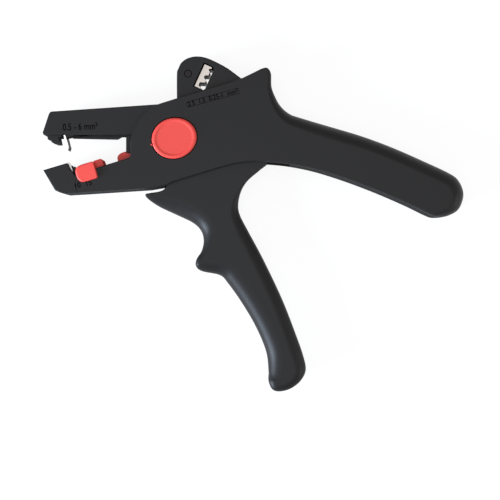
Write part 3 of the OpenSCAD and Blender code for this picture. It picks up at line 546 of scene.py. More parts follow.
def ground(name, colour, rough, stretch, depth, metallic, specular):
    """Ground steel: fine lines, drawn out along one direction, in bump and gloss."""
    material, tree, shader, place = new_material(name)
    set_inputs(shader, {"Base Color": (*colour, 1), "Metallic": metallic, "Specular IOR Level": specular})
    turn = new_node(tree, "Mapping", {"Scale": stretch})
    wire_up(tree, [(place, turn.inputs["Vector"])])
    lines = noise_at(tree, turn.outputs["Vector"], 1.0, 2.0)
    bumped(tree, lines, shader, depth, 0.00002)
    wire_up(tree, [(span(tree, lines, rough - 0.08, rough + 0.1), shader.inputs["Roughness"])])
    return material


# Plastic: colour and its shade, roughness if not the colour's own, share of the grain's depth,
# specular level and mottle
MOULDED = {
    "black_moulded_plastic": ("black", 1.0, None, 1.0, 0.14, 0.12),
    # Upright black walls: painted shade by little gloss, painted light by a 1.3 times lighter colour
    "black_plastic_walls": ("black", 1.3, 0.8, 1.0, 0.05, 0.1),
    # Floors of engraved figures, the cap's seat and the ear's window: painted shade, five times darker
    "sunk_figures": ("black", 0.2, 0.9, 1.0, 0.03, 0.05),
    "red_moulded_plastic": ("red", 1.0, None, 0.6, 0.2, 0.03),
    # Upright red walls: painted shade by little gloss, painted light by a 1.1 times lighter colour
    "red_plastic_walls": ("red", 1.1, 0.8, 1.0, 0.05, 0.03)}
# Steel: colour, roughness, lines per metre along each axis, their depth, metallic and specular level
GROUND = {
    "turned_steel": ("steel", 0.36, (4000.0, 400.0, 4000.0), 0.25, 1.0, 0.5),
    "drawn_spring_wire": ("steel", 0.28, (900.0, 900.0, 900.0), 0.15, 1.0, 0.5),
    # Blackened pins, and painted shade on the die's notch walls and the upper blade's +x side
    "blackened_steel": ("dark_steel", 0.5, (900.0, 900.0, 900.0), 0.2, 0.0, 0.12),
    "ground_blade_steel": ("blade", 0.34, (500.0, 4000.0, 4000.0), 0.25, 1.0, 0.5),
    "ground_die_steel": ("die", 0.42, (500.0, 4000.0, 4000.0), 0.3, 0.7, 0.5)}


def surface(name):
    """The material of one table row, made at its first use from the scene's own settings."""
    if name in bpy.data.materials:
        return bpy.data.materials[name]
    s = bpy.context.scene.stripper_finish
    if name in GROUND:
        colour, *rest = GROUND[name]
        return ground(name, getattr(s, colour), *rest)
    colour, shade, rough, depth, specular, mottle = MOULDED[name]
    tone = [c * shade for c in getattr(s, colour)]
    rough = rough or getattr(s, colour + "_rough")
    return moulded(name, tone, rough, s.grain, s.grain_depth * depth, specular, mottle)


def colour_setting(name, description, default):
    """A colour of the property groups."""
    return FloatVectorProperty(
        name=name, description=description, subtype="COLOR", size=3, min=0, max=1, default=default)


def length_setting(name, description, low, high, default):
    """A length of the property groups, in metres."""
    return FloatProperty(
        name=name, description=description, unit="LENGTH", min=low, max=high, default=default)


class StripperFinish(bpy.types.PropertyGroup):
    """Colours and surfaces of the tool."""
    black: colour_setting(
        "Black plastic", "Colour of the moulded housing, jaws and lever", (0.0098, 0.0094, 0.0097))
    red: colour_setting(
        "Red plastic", "Colour of the caps, the stop and the carrier", (0.67, 0.062, 0.050))
    steel: colour_setting("Steel", "Colour of pins, screws and springs", (0.56, 0.56, 0.55))
    # This colour also paints shade on the notch walls of the fixed die and on the side of the upper blade
    # that faces +x; that dark flank is painted shade.
    dark_steel: colour_setting(
        "Blackened steel", "Colour of blackened pins and of the blades' unground flanks",
        (0.014, 0.011, 0.011))
    blade: colour_setting("Blade steel", "Colour of the ground faces of the blades", (0.66, 0.64, 0.62))
    die: colour_setting("Die steel", "Colour of the crimping dies", (0.40, 0.36, 0.33))
    black_rough: FloatProperty(
        name="Roughness of black", description="Evenness of the sheen on the black plastic",
        subtype="FACTOR", min=0.1, max=1, default=0.45)
    red_rough: FloatProperty(
        name="Roughness of red", description="Evenness of the sheen on the red plastic",
        subtype="FACTOR", min=0.1, max=1, default=0.42)
    grain: FloatProperty(
        name="Grain scale", description="Fineness of the moulded grain, in grains per metre",
        min=500, max=8000, default=3200)
    grain_depth: FloatProperty(
        name="Grain depth", description="Strength of the moulded grain",
        subtype="FACTOR", min=0, max=1, default=0.35)


class StripperShape(bpy.types.PropertyGroup):
    """Roundings of the moulded pieces."""
    edge: length_setting("Housing edge", "Rounding of the housing's flat edges", 0.0001, 0.002, 0.0006)
    handle: length_setting(
        "Handle rounding", "Width of the rounding along the top of the upper handle", 0.002, 0.009, 0.007)
    lever: length_setting("Lever rounding", "Width of the rounding along the lever", 0.002, 0.009, 0.008)
    small: length_setting("Small edge", "Rounding of small moulded pieces", 0.00005, 0.001, 0.00025)
    steps: IntProperty(name="Steps", description="Steps of a broad rounding", min=3, max=24, default=12)


class StripperStage(bpy.types.PropertyGroup):
    """Floor, lights and camera."""
    floor: colour_setting("Floor", "Colour of the floor", (0.92, 0.92, 0.92))
    lamp: FloatProperty(
        name="Lamp power", description="Power of the large lamps", subtype="POWER",
        min=0, max=200, default=5)
    world: FloatProperty(
        name="Even light", description="Strength of the even light from all around",
        min=0, max=2, default=0.32)
    distance: length_setting(
        "Camera distance", "From the front face of the tool to the lens", 0.2, 2, 0.54)


def lengths():
    """The roundings of the property group, in millimetres."""
    s = bpy.context.scene.stripper_shape
    return {"edge": s.edge * 1000, "handle": s.handle * 1000, "lever": s.lever * 1000,
            "small": s.small * 1000, "steps": s.steps}


# Housing
def handle_curve(n, width):
    """The upper handle's outline with its rounding widths."""
    return through(HANDLE * [HANDLE_REACH, HANDLE_REACH, width], n)


def housing_outline(n, edge, width):
    """Anticlockwise outline of a housing half: lower jaw, bar, handle, round front and slit."""
    b = BLADE_REACH
    bottom = along([[-51.0, -11.1], [-0.35 * b, -0.98 * BAR_BOTTOM], [-0.21 * b, -1.03 * BAR_BOTTOM],
                    [-0.12 * b, -BAR_BOTTOM], [0.28 * b, -BAR_BOTTOM]])
    centre = along([[-0.8, BAR_TOP - FRONT_R]])[0]
    front = arc(FRONT_R, 90 + SLANT, 189, 12 * max(1, n // 3), centre)
    jaw = along([[-(FRONT_R + 2), -2.4], [-49.65, -2.4]])
    slit = along([[-49.65, -3.1], [-50.65, -8.9]])
    return chained(with_width(bottom, edge), handle_curve(n, width),
                   with_width(along([[BAR_L, BAR_TOP]]), edge), with_width(front, edge),
                   with_width(jaw, edge), with_width(slit, SLIT_EDGE))


def room_outline():
    """Room between the walls of a housing half, open at the jaws, under the lever and at the ear."""
    path = housing_outline(2, 0.8, 7.0)
    inner = path[:, :2] - outward(path) * (0.5 * path[:, 2:3] + WALL)
    first, last = 5 + 3 * 2, 5 + 25 * 2
    bottom = along([[SLIT_U - 1, -8.9], [-0.35 * BLADE_REACH, -0.98 * BAR_BOTTOM]])
    bottom[1] += along([[0, 2.2]])[0]
    under = along([[-10.9, -BAR_BOTTOM + 2.2], [-10.9, -1.3 * BAR_BOTTOM]])
    over = along([[43.1, BAR_TOP - WALL], [BAR_L, BAR_TOP + WALL], [-1.3 * FRONT_R, BAR_TOP + WALL],
                  [SLIT_U - 1, BAR_TOP]])
    return chained(bottom, under, [[path[first, 0], -BAR_BOTTOM]], inner[first:last + 1], over)


def screw_places():
    """Places of the six housing screws."""
    return chained([[7.5, 15.5]], along([[42.545, 11.2], [-34.6, -10.4]]), [[52.471, -1]],
                   HANDLE_REACH * np.array([[0.584, -0.044], [0.883, -0.182]]))


def length_figure(text, u, v):
    """Cutter of a plain figure of the length scale on the jaw."""
    return numbers(text, along([[u, v]])[0], SLANT, 2.2, 0.9, THICK - FIGURE_DEPTH, THICK + 1)


def soft_box(half, corner):
    """Outline of a rectangle about the origin with rounded corners."""
    corners = ((180, (-1, -1)), (270, (1, -1)), (0, (1, 1)), (90, (-1, 1)))
    return chained(*[arc(corner, a, a + 90, 4, np.array(sign) * (np.array(half) - corner))
                     for a, sign in corners])


def label_cutters():
    """Cutters of the line round the label of the die's wire sizes, and of its figures."""
    place, turn = along([[22.9, 12.7]])[0], SLANT - 1.8
    outer, inner = [turned_by(soft_box(half, corner), turn) + place
                    for half, corner in (((12.65, 1.4), 0.5), ((12.45, 1.2), 0.35))]
    rim = plain_slab("rim", outer, THICK - RIM_DEPTH, THICK + 1)
    island = plain_slab("island", inner, *THROUGH)
    figures = numbers("2.5  1.5  0.25-1  mm²", place, turn, 1.9, 0.92, THICK - FIGURE_DEPTH, THICK + 1)
    return [carve(rim, [island]), figures]


def figure_floor_shade(level):
    """Chooses the flat floors of figures engraved under a level, which get painted shade."""
    floor = level - (FIGURE_DEPTH + RIM_DEPTH) / 2
    return lambda centres, normals: (normals[:, 2] > 0.999) & (np.abs(centres[:, 2] - floor) < 0.09)


def figure_and_seat_shade(centres, normals):
    """Chooses the floors of engraved figures on the front face, and the seat of the cap, which get painted
    shade.
    """
    own = turned_by(centres[:, :2], -CAP_TURN) / [CAP_A + 0.5, CAP_B + 0.5]
    seat = ((own ** 2).sum(1) < 1) & (centres[:, 2] > THICK - 1.5) & (centres[:, 2] < THICK - 0.1)
    return figure_floor_shade(THICK)(centres, normals) | seat


def housing_half(name, front):
    """Outer skin less the room, with bosses, rails and the seat of the cap."""
    s = lengths()
    up = 1 if front else -1

    def z(depth):
        """Level that lies a depth under this half's own face."""
        return MID + up * (MID - depth)

    path = housing_outline(8, s["edge"], s["handle"])
    shell = half_shell(name, path, MID, z(0), s["steps"], np.minimum(path[:, 2:3] * 10 / 7, 9.7))
    seat = [[1, h] for h in sorted((z(1.4), z(-2)))]
    cutters = [plain_slab("room", room_outline(), *sorted((MID - up, z(WALL)))),
               turned("seat", seat, (0, 0), 128, CAP_A + CAP_ROOM, CAP_B + CAP_ROOM, CAP_TURN),
               axle_bore(),
               bore(along([[SLIT_U + 3, -8.3]])[0], TIP_PIN_R, *sorted((MID - up, z(1.3))))]
    far = z(2.0) if front else -1
    cutters += [bore(p, SCREW_R, *sorted((MID - up, far))) for p in screw_places()]
    if not front:
        cutters += [bore(p, HEAD_R, -1, HEAD_DEEP) for p in screw_places()]
    carve(shell, cutters)
    ease_edges(shell, 0.18, 50)
    if front:
        carve(shell, [length_figure("10", -50.0, -7.9), length_figure("15", -44.6, -8.3), *label_cutters()])
    inner = sorted((MID, z(WALL - 0.1)))
    bosses = [carve(round_pin("boss", p, BOSS_R, *inner, 0.05), [bore(p, SCREW_R)])
              for p in screw_places()]
    bosses.append(round_pin("post", POST, 1.2, *inner, 0.05))
    rail = along(box_outline(-44, -25.7, -8.3, -6.9))
    bosses.append(plain_slab("rail", rail, *sorted((z(2 * WALL), z(WALL - 0.1)))))
    return together(name, [shell] + bosses)


class StripperHousing(bpy.types.Operator):
    """Make both halves of the housing"""
    bl_idname = "stripper.housing"
    bl_label = "Housing"

    def execute(self, context):
        finish_plastic(housing_half("housing_front", True), "black", "housing", "front_shell", 32,
                       ("sunk_figures", figure_and_seat_shade))
        finish_plastic(housing_half("housing_rear", False), "black", "housing", "rear_shell", 32)
        return {"FINISHED"}


def front_cap():
    """Oval cap over the front end of the pivot: rounded rim, sunk centre and a small nub."""
    top, foot, gap = THICK + 0.6, THICK - 1.4, 0.12
    round_w, round_d = 1.1 / CAP_A, 0.75
    t = np.radians(np.linspace(0, 90, 9))
    crest = np.stack([1 - round_w * (1 - np.cos(t)), top - round_d * (1 - np.sin(t))], 1)
    inside = [[0.865, top], [0.85, top - 0.03], [0.825, top - 0.16], [0.80, top - 0.27],
              [0.77, top - 0.3], [0.02, top - 0.3]]
    front = chained([[0.62, top - 1.0], [0.62, foot], [0.985, foot], [1.0, foot + 0.2]], crest, inside)
    cap = turned("pivot_cap_front", front, sides=144, a=CAP_A - gap, b=CAP_B - gap, turn=CAP_TURN)
    nub = [[0.02, THICK - 0.3], [0.4, THICK - 0.3], [0.4, THICK + 0.25], [0.32, THICK + 0.42],
           [0.16, THICK + 0.5], [0.02, THICK + 0.52]]
    nub = turned("nub", nub, (-10.7, -3.05), 24)
    finish_plastic(together("pivot_cap_front", [cap, nub]), "red", "housing", "front_cap", 40)


def rear_cap():
    """Plainer oval cap over the rear end of the pivot."""
    rear = [[0.02, 0.0], [0.95, 0.0], [0.985, 0.1], [1.0, 0.3], [1.0, 1.3], [0.99, 1.4], [0.62, 1.4],
            [0.62, 0.75]]
    cap = turned("pivot_cap_rear", rear, sides=144, a=CAP_A, b=CAP_B, turn=CAP_TURN)
    finish_plastic(cap, "red", "housing", "rear_cap", 40)


class StripperCaps(bpy.types.Operator):
    """Make the oval caps over the pivot"""
    bl_idname = "stripper.caps"
    bl_label = "Caps"

    def execute(self, context):
        front_cap()
        rear_cap()
        return {"FINISHED"}


def jaw_tip():
    """Clamping end of the lower jaw, in front of the slit."""
    s = lengths()
    shares = np.array([[-1.014, 0.063], [-0.974, -0.109], [-0.945, -0.135], [-0.915, -0.154]])
    side = [[-51.1, -11.0], [-50.75, -8.9], [-49.75, -3.1], [-50.45, -0.9], [-51.0, 0.6]]
    outline = chained([[-51.5, 3.8]], shares * JAW_REACH, side)
    path = with_width(along(outline), s["edge"])
    path[5:9, 2] = SLIT_EDGE
    tip = full_slab("lower_jaw_end", path, 0, THICK, 4)
    tongue = plain_slab("tongue", along(box_outline(SLIT_U - 1, SLIT_U + 6, -8.3, -7.1)), LOW, HIGH)
    recess = plain_slab("recess", along(box_outline(-52.9, SLIT_U + 1, -6.6, 4.9)), 4.6, 15.4)
    carve(tip, [recess])
    ease_edges(tip, 0.12, 50)
    carve(tip, [length_figure("10", -50.0, -7.9)])
    tip = together("lower_jaw_end", [tip, tongue])
    finish_plastic(tip, "black", "housing", "lower_jaw_tip", 32, ("sunk_figures", figure_floor_shade(THICK)))


class StripperLowerJaw(bpy.types.Operator):
    """Make the clamping end of the lower jaw"""
    bl_idname = "stripper.lower_jaw"
    bl_label = "Lower jaw tip"

    def execute(self, context):
        jaw_tip()
        return {"FINISHED"}


def hub_plate(z0):
    """One of the two plates by which the upper jaw turns on the axle, with the closing pin's slot."""
    hub = chained(arc(19, -33, 24, 24), arc(8.5, 24, 100, 16),
                  [polar(14.1, 100), polar(14.1, 137)], arc(8.5, 137, 327, 40))
    r, ends = 1.6, (CLOSING_ANGLE, -3.5)
    slot = chained(arc(CLOSING_R + r, *ends, 16),
                   arc(r, ends[1], ends[1] + 180, 12, polar(CLOSING_R, ends[1])),
                   arc(CLOSING_R - r, *ends[::-1], 16),
                   arc(r, ends[0] + 180, ends[0] + 360, 12, polar(CLOSING_R, ends[0])))
    plate = plain_slab("plate", hub, z0, z0 + PLATE_T)
    carve(plate, [plain_slab("slot", slot, *THROUGH), axle_bore(),
                  bore(polar(CLOSING_R, TAIL_ANGLE), TAIL_PIN_R)])
    return ease_edges(plate, 0.1, 50)


def upper_jaw():
    """Swinging jaw: bar with its room, sizes engraved on its face, and two hub plates."""
    s = lengths()
    nose = JAW_REACH * np.array([[-0.936, 0.207], [-0.949, 0.196], [-0.956, 0.18], [-1, 0.047],
                                 [-0.993, 0.031]])
    root_r, foot_v = 11.2, 1.9
    start = math.degrees(math.asin(foot_v / root_r))
    outline = chained(arc(root_r, 180 - start, 100, 24), [polar(17, 100)],
                      [[-0.127 * JAW_REACH, 0.262 * JAW_REACH]], nose)
    jaw = full_slab("upper_jaw_arm", with_width(outline, s["edge"]), LOW, HIGH, 4)
    room = [[0, -1], [0, 9.5], [-58.87, 9.5], [-60.37, 4.75], [-61.37, 0], [-61.37, -1]]
    holes = [bore(p, 1.25, 3.7, 16.3) for p in (*GUIDES, PAD_PIN)]
    carve(jaw, [plain_slab("room", room, 4.7, 15.3)] + holes)
    ease_edges(jaw, 0.12, 50)
    carve(jaw, [numbers("0.5 - 6 mm²", (-44.5, 5.6), 2.4, 2.8, 0.76, HIGH - FIGURE_DEPTH, HIGH + 1)])
    plates = [hub_plate(z0) for z0 in (PLATE_OUT, THICK - PLATE_IN)]
    jaw = together("upper_jaw_arm", [jaw] + plates)
    finish_plastic(jaw, "black", "upper_jaw", "upper_jaw", 32, ("sunk_figures", figure_floor_shade(HIGH)))


def clamp_pad():
    """Toothed pad under the nose of the upper jaw."""
    pad = [[-60.8, 2.3], [-60.3, 1.2], [-60.15, -0.1], [-58.5, -0.6], [-58.25, -1.55],
           [-57.35, -1.7], [-56.8, -2.15], [-54.6, -2.15], [-55.2, 0.9], [-53.7, 1.1],
           [-53.7, 2.4], [-54.5, 3.0], [-54.5, 7.5], [-58.6, 7.5]]
    piece = carve(plain_slab("upper_pad", pad, BLADE_LOW, BLADE_HIGH), [bore(PAD_PIN, 1.3)])
    ease_edges(piece, 0.06, 25)
    finish_plastic(piece, "black", "upper_jaw", "upper_clamp_pad", 40)


class StripperUpperJaw(bpy.types.Operator):
    """Make the upper jaw with its hub plates, and the toothed pad under its nose"""
    bl_idname = "stripper.upper_jaw"
    bl_label = "Upper jaw"

    def execute(self, context):
        upper_jaw()
        clamp_pad()
        return {"FINISHED"}


def lean(points):
    """Places in the upper blade's own frame, whose foot stands forward of the jaw's bar."""
    return turned_by(points, 14.7) + [-50.8, -5.2]


def lower_slide():
    """Slide in the lower jaw: bar, hump, fork of the drive pin and arm to the upper carrier."""
    top = 12.7
    body = plain_slab("body", along(box_outline(-46, -24.5, -6.5, -2.7)), LOW, HIGH)
    hump = through(HUMP, 6) * [6.6, 4.4] + [-29.0, -2.8]
    hump = full_slab("hump", with_width(along(hump), 0.5), 4.5, top, 4)
    u, v = polar(DRIVE_R, -90 - LEVER_STROKE / 2)
    fork = along([[-30, -2.8], [-30, -9.5], [-24.5, -12.6], [u - 4.1, -12.6], [u - 4.1, -17.2],
                  [u + 4.1, -17.2], [u + 4.1, -9.9], [-17.9, -9.8], [-24.4, -6.5]])
    fork = carve(plain_slab("fork", fork, 6, 14),
                 [plain_slab("slot", along(slot_outline((u, v + 0.9), (u, -18.2), 1.9)), *THROUGH)])
    arm = plain_slab("arm", slot_outline(LINK, LINK + along([[0, -11.3]])[0], 1.4), STRIP_LOW, top)
    parts = [ease_edges(p, lengths()["small"], 40) for p in (body, fork, arm)]
    slide = together("lower_slide", [hump] + parts)
    finish_plastic(slide, "red", "lower_carrier", "lower_blade_carrier", 35)


def blade_finger():
    """Holder behind the lower blade, with the finger that shows over the jaw."""
    block = along([[-51.7, -6.4], [-46, -6.4], [-46, -2.7], [-48.5, -2.7], [-48.5, -0.2], [-51.7, -0.2]])
    block = ease_edges(plain_slab("holder", block, BLADE_LOW, BLADE_HIGH), 0.12, 40)
    finger = slot_outline((-48.9, -1.4), (-49.4, 1.15), 0.55)
    finger = full_slab("finger", with_width(along(finger), 0.12), BLADE_LOW, BLADE_HIGH, 3)
    holder = together("blade_finger", [block, finger])
    finish_plastic(holder, "black", "lower_carrier", "lower_blade_holder", 40)


def upper_slide():
    """Slide in the upper jaw: strip, foot of the blade, web, and leg in front of the housing."""
    strip = [[-49, 0.75], [-27.7, 0.3], [-24.7, 1.9], [-16, 1.9], [-16, 6.3], [-49, 6.3]]
    strip = plain_slab("strip", strip, STRIP_LOW, STRIP_HIGH)
    lift = PULL * polar(1, SLANT - JAW_STROKE)
    carve(strip, [plain_slab("way", slot_outline(guide, np.array(guide) - lift, 1.35), *THROUGH)
                  for guide in GUIDES])
    foot = plain_slab("foot", lean(box_outline(0.8, 4.8, 6.2, 11)), 5.1, 14.9)
    web = plain_slab("web", box_outline(-23.1, -20.7, 2, 6.2), 10, 13.1)
    way = plain_slab("way", slot_outline(LINK, LINK + [-0.5, 3.4], 1.3), 12, 16)
    leg = carve(plain_slab("leg", box_outline(-23.2, -16.9, -6.5, 6.3), LEG_LOW, LEG_HIGH), [way])
    parts = [ease_edges(p, 0.15, 40) for p in (strip, foot, web, leg)]
    finish_plastic(together("upper_slide", parts), "black", "upper_carrier", "upper_blade_carrier", 40)


def stop_tab():
    """Length stop: tab on the jaw's face, web through its cheek, and block over the slide."""
    u, long, high = STOP_U, 9.4, 8.1
    tab = through(TAB, 6) * [long, high, 1.0] + [u + 0.6 - long, -7.2, 0]
    path = np.column_stack([along(tab[:, :2]), tab[:, 2].clip(0.5, 1.0)])
    tab = half_shell("tab", path, TAB_LOW, TAB_HIGH, 8, 0.8)
    web = along(box_outline(u - 4.4, u + 0.4, -2.3, 0.6))
    web = full_slab("web", with_width(web, 0.1), 13, TAB_LOW + 0.15, 2)
    shares = np.array([[0, 0], [1, 0], [1, 0.85], [0.93, 0.97], [0.84, 1], [0.1, 1], [0, 0.9]])
    block = plain_slab("block", along(shares * [4.4, 4.0] + [u, -2.6]), 4.5, 16.85)
    gap = plain_slab("gap", along(box_outline(u + 0.4, u + 4, -2.8, -1.5)), 7.9, 12.1)
    block = ease_edges(carve(block, [gap]), 0.35, 25, 3)
    finish_plastic(together("stop_tab", [tab, web, block]), "red", "length_stop", "length_stop", 40)


class StripperCarriers(bpy.types.Operator):
    """Make both blade carriers, the holder behind the lower blade and the length stop"""
    bl_idname = "stripper.carriers"
    bl_label = "Carriers and stop"

    def execute(self, context):
        lower_slide()
        blade_finger()
        upper_slide()
        stop_tab()
        return {"FINISHED"}


def rivet_holes(ends):
    """Cutters of both rivet holes of a blade, from one place to another."""
    return [tube("hole", np.column_stack([ends, [z, z]]), RIVET_R, 24) for z in RIVET_LEVELS]


def lower_blade():
    """Strip behind the lower jaw's end, ground to a slant at its top."""
    lower = along([[-52.5, -6.4], [-51.7, -6.4], [-51.7, 4.8], [-52.5, 3.4]])
    lower = plain_slab("lower_cutting_blade", lower, BLADE_LOW, BLADE_HIGH)
    carve(lower, rivet_holes(along([[-53.5, -4.6], [-50, -4.6]])))
    ease_edges(lower, 0.04, 40, 1)
    finish_piece(lower, "lower_carrier", "lower_blade", "ground_blade_steel", 30)


def upper_blade():
    """Leaning strip behind the pad, ground at its foot and bright at its front end, with painted shade on
    its side that faces +x below that end.
    """
    bright_from = 13.0
    upper = plain_slab("upper_cutting_blade", lean([[0, 0], [0.8, 1.4], [0.8, 11], [0, 11]]),
                       BLADE_LOW, BLADE_HIGH, bright_from)
    carve(upper, rivet_holes(lean([[-1, 8.6], [2, 8.6]])))

    def flank(centres, normals):
        """Chooses the side of the blade that faces +x, away from the ground end that shows; it gets painted
        shade.
        """
        return (normals[:, 0] > 0.7) & (centres[:, 2] < bright_from)

    ease_edges(upper, 0.04, 40, 1)
    finish_piece(upper, "upper_carrier", "upper_blade", "ground_blade_steel", 30,
                 ("blackened_steel", flank))


class StripperBlades(bpy.types.Operator):
    """Make both blades"""
    bl_idname = "stripper.blades"
    bl_label = "Blades"

    def execute(self, context):
        lower_blade()
        upper_blade()
        return {"FINISHED"}


def squeeze_lever():
    """Grip, nose and cheeks, hollow round the pivot and for the slides."""
    s = lengths()
    grip = through(LEVER * [LEVER_REACH, LEVER_REACH, s["lever"]], 8)
    path = chained(grip, with_width(LEVER_TOP * LEVER_REACH, 0.3),
                   with_width(arc(HUB_R, 15, 200, 40), 0.3))
    width = path[:, 2:3]
    depth = np.where(width > 0.5, np.minimum(width * 7 / 8, 6.9), width)
    lever = full_slab("squeeze_lever", path, LOW, HIGH, s["steps"], depth)
    room_r, way_out, way_in, way_from, way_to = 20, 36.1, 24.4, -9.3, 60
    way = chained(arc(way_out, way_from, way_to, 16), arc(way_in, way_to, way_from, 16))
    carve(lever, [bore((0, 0), room_r, LOW + CHEEK, HIGH - CHEEK, 128),
                  plain_slab("way", way, STRIP_LOW, STRIP_HIGH), axle_bore()])
    ease_edges(lever, 0.12, 55)
    finish_plastic(lever, "black", "lever", "lever", 35)


class StripperLever(bpy.types.Operator):
    """Make the lever with its cheeks round the pivot"""
    bl_idname = "stripper.lever"
    bl_label = "Lever"

    def execute(self, context):
        squeeze_lever()
        return {"FINISHED"}


def die_place(points, turn):
    """Places in a die's own frame: along it from its near end, and across it."""
    return turned_by(np.asarray(points, float) + [DIE_NEAR, 0], turn)


def notch_wall_shade(centres, normals):
    """Chooses the upright faces inside the notches of the fixed die, which get painted shade."""
    own = turned_by(centres[:, :2], -DIE_TURN) - [DIE_NEAR, 0]
    return ((np.abs(normals[:, 2]) < 0.5) & (own[:, 1] > DIE_FACE + 0.2) & (own[:, 1] < DIE_SIDE - 0.4)
            & (own[:, 0] > 0.3) & (own[:, 0] < DIE_L - 0.3))


def ear_pocket_shade(centres, normals):
    """Chooses the walls and ledges of the ear's window, and the ring round its pin, which get painted
    shade.
    """
    own = turned_by(centres[:, :2], -DIE_TURN) - [DIE_NEAR, 0]
    window = ((own > [-0.55, -3.2]) & (own < [DIE_L + 0.55, 2.65])).all(1)
    ring = np.linalg.norm(centres[:, :2] - FRAME_PIN, axis=1) < 1.9
    return (window | ring) & (np.abs(centres[:, 2] - MID) < HIGH - MID - 0.2)


def crimp_ear():
    """Ear between the housing halves, with its screw lugs, window, die slot and pin hole."""
    curve = through(EAR, 8) * EAR_REACH
    foot = chained([[5, 17]], along([[11.9, 13.9], [40.745, 13.9], [43.045, 14.9], [38.445, 14.9]]))
    width = np.minimum(0.7, 0.08 + 0.3 * np.linalg.norm(curve - curve[[0]], axis=1))
    path = chained(np.column_stack([curve, width]), with_width(foot, 0.05))
    body = full_slab("crimp_ear", path, LOW, HIGH, 4)
    lugs = screw_places()[:2]
    lug_r, lug_hole, inset, sink_r, sink = 3.5, 2.4, 0.02, 1.85, 0.6
    carve(body, [round_pin("lug", p, lug_r, LOW + inset, HIGH - inset, 0.05) for p in lugs], "UNION")
    slot_out, slot_in, slot_from = 38.9, 22.8, 4
    slot = chained(arc(slot_out, slot_from, DIE_TURN, 48), arc(slot_in, DIE_TURN, slot_from, 48))
    window = [[-0.02, DIE_SIDE + 0.02], [-0.02, -2.0], [0.7, -3.1], [10.5, -3.1], [DIE_L + 0.02, -1.9],
              [DIE_L + 0.02, DIE_SIDE + 0.02]]
    ledge = [[-0.5, 2.6], [-0.5, -2.0], [0.3, -2.8], [11.4, -2.8], [12.0, -1.9], [12.0, 2.6]]
    ledge, ledge_deep = die_place(ledge, DIE_TURN), 1.6
    shank = box_outline(1.9, 6.3, 0, 9.7)
    cutters = [plain_slab("slot", slot, 7, 13),
               plain_slab("window", die_place(window, DIE_TURN), *THROUGH),
               plain_slab("ledge", ledge, HIGH - ledge_deep, HIGH + 1),
               plain_slab("ledge", ledge, LOW - 1, LOW + ledge_deep),
               plain_slab("shank", die_place(shank, DIE_TURN), DIE_LOW, DIE_HIGH),
               bore(FRAME_PIN, FRAME_PIN_R), bore(FRAME_PIN, sink_r, HIGH - sink, HIGH + 1),
               bore(FRAME_PIN, sink_r, LOW - 1, LOW + sink)]
    carve(body, cutters + [bore(p, lug_hole) for p in lugs])
    ease_edges(body, 0.15, 50)
    finish_plastic(body, "black", "housing", "crimp_frame", 35, ("sunk_figures", ear_pocket_shade))


def fixed_die():
    """Die with three notches in the ear's window, and the shank that holds it."""
    outline = [[0, DIE_SIDE], [0, DIE_FACE]]
    for x, half, deep in NOTCHES:
        outline += [[(x - half) * DIE_L, DIE_FACE], [(x - half / 2) * DIE_L, DIE_FACE + deep * DIE_L],
                    [(x + half / 2) * DIE_L, DIE_FACE + deep * DIE_L], [(x + half) * DIE_L, DIE_FACE]]
    outline += [[DIE_L, DIE_FACE], [DIE_L, DIE_SIDE]]
    fixed = ease_edges(plain_slab("fixed_die", die_place(outline, DIE_TURN), 3.6, 16.4), 0.18, 25)
    shank = die_place(box_outline(2, 6.2, DIE_SIDE - 0.1, 9.6), DIE_TURN)
    shank = plain_slab("shank", shank, 7.6, 12.4)
    die = together("fixed_die", [fixed, shank])
    # The notch walls get the dark steel as painted shade
    notches = ("blackened_steel", notch_wall_shade)
    finish_piece(die, "housing", "fixed_crimp_die", "ground_die_steel", 30, notches)


def moving_die():
    """Die on the lever's arm: block, three noses that enter the notches, and two cheeks."""
    at = DIE_TURN - LEVER_STROKE
    thick = 1.15
    block = plain_slab("block", die_place(box_outline(0.3, 11.2, -6.5, -2.2), at), DIE_LOW, DIE_HIGH)
    noses = [plain_slab("nose", die_place([[(x - half) * DIE_L + 0.5, -2.4],
                                           [(x + half) * DIE_L - 0.5, -2.4],
                                           [x * DIE_L, DIE_FACE + deep * DIE_L - 0.5]], at),
                        DIE_LOW + 0.05, DIE_HIGH - 0.05) for x, half, deep in NOTCHES]
    rivets = [die_place([[k * DIE_L, -8.2]], at)[0] for k in (0.2, 0.8)]
    cheek = die_place(box_outline(0.3, 10.35, -9.4, -6.4), at)
    cheeks = [carve(plain_slab("cheek", cheek, z0, z0 + thick), [bore(p, RIVET_R) for p in rivets])
              for z0 in (DIE_LOW, DIE_HIGH - thick)]
    parts = [ease_edges(p, 0.1, 40) for p in [block] + noses + cheeks]
    finish_piece(together("moving_die", parts), "lever", "moving_crimp_die", "ground_die_steel", 30)


class StripperEar(bpy.types.Operator):
    """Make the ear, both crimping dies and the arm of the moving one"""
    bl_idname = "stripper.ear"
    bl_label = "Crimping ear"

    def execute(self, context):
        crimp_ear()
        fixed_die()
        moving_die()
        return {"FINISHED"}


def torsion_spring():
    """Coil of radius r at angle a and height z = mid + rise (1 - 2 t), with a straight leg off each end. In
    the tool its coils twist between the housing and the lever; this mesh keeps the shape it is made with."""
    rise, r, wire, places = 1.56, 6.2, 0.4, 145
    a = np.radians(np.linspace(49.3, 734.7, places))
    coil = np.stack([r * np.cos(a), r * np.sin(a), MID + np.linspace(rise, -rise, places)], 1)
    legs = CLOSING_R * np.stack([np.sin(a), -np.cos(a), 0 * a], 1)
    first = coil[0] + np.array([[1], [0.75], [0.5], [0.25]]) * legs[0]
    last = coil[-1] - np.array([[0.25], [0.5], [0.75], [0.93]]) * legs[-1]
    spring = tube("torsion_spring", chained(first, coil, last), wire, 16)
    finish_piece(spring, None, "return_spring", "drawn_spring_wire", 60)
    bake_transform(spring)


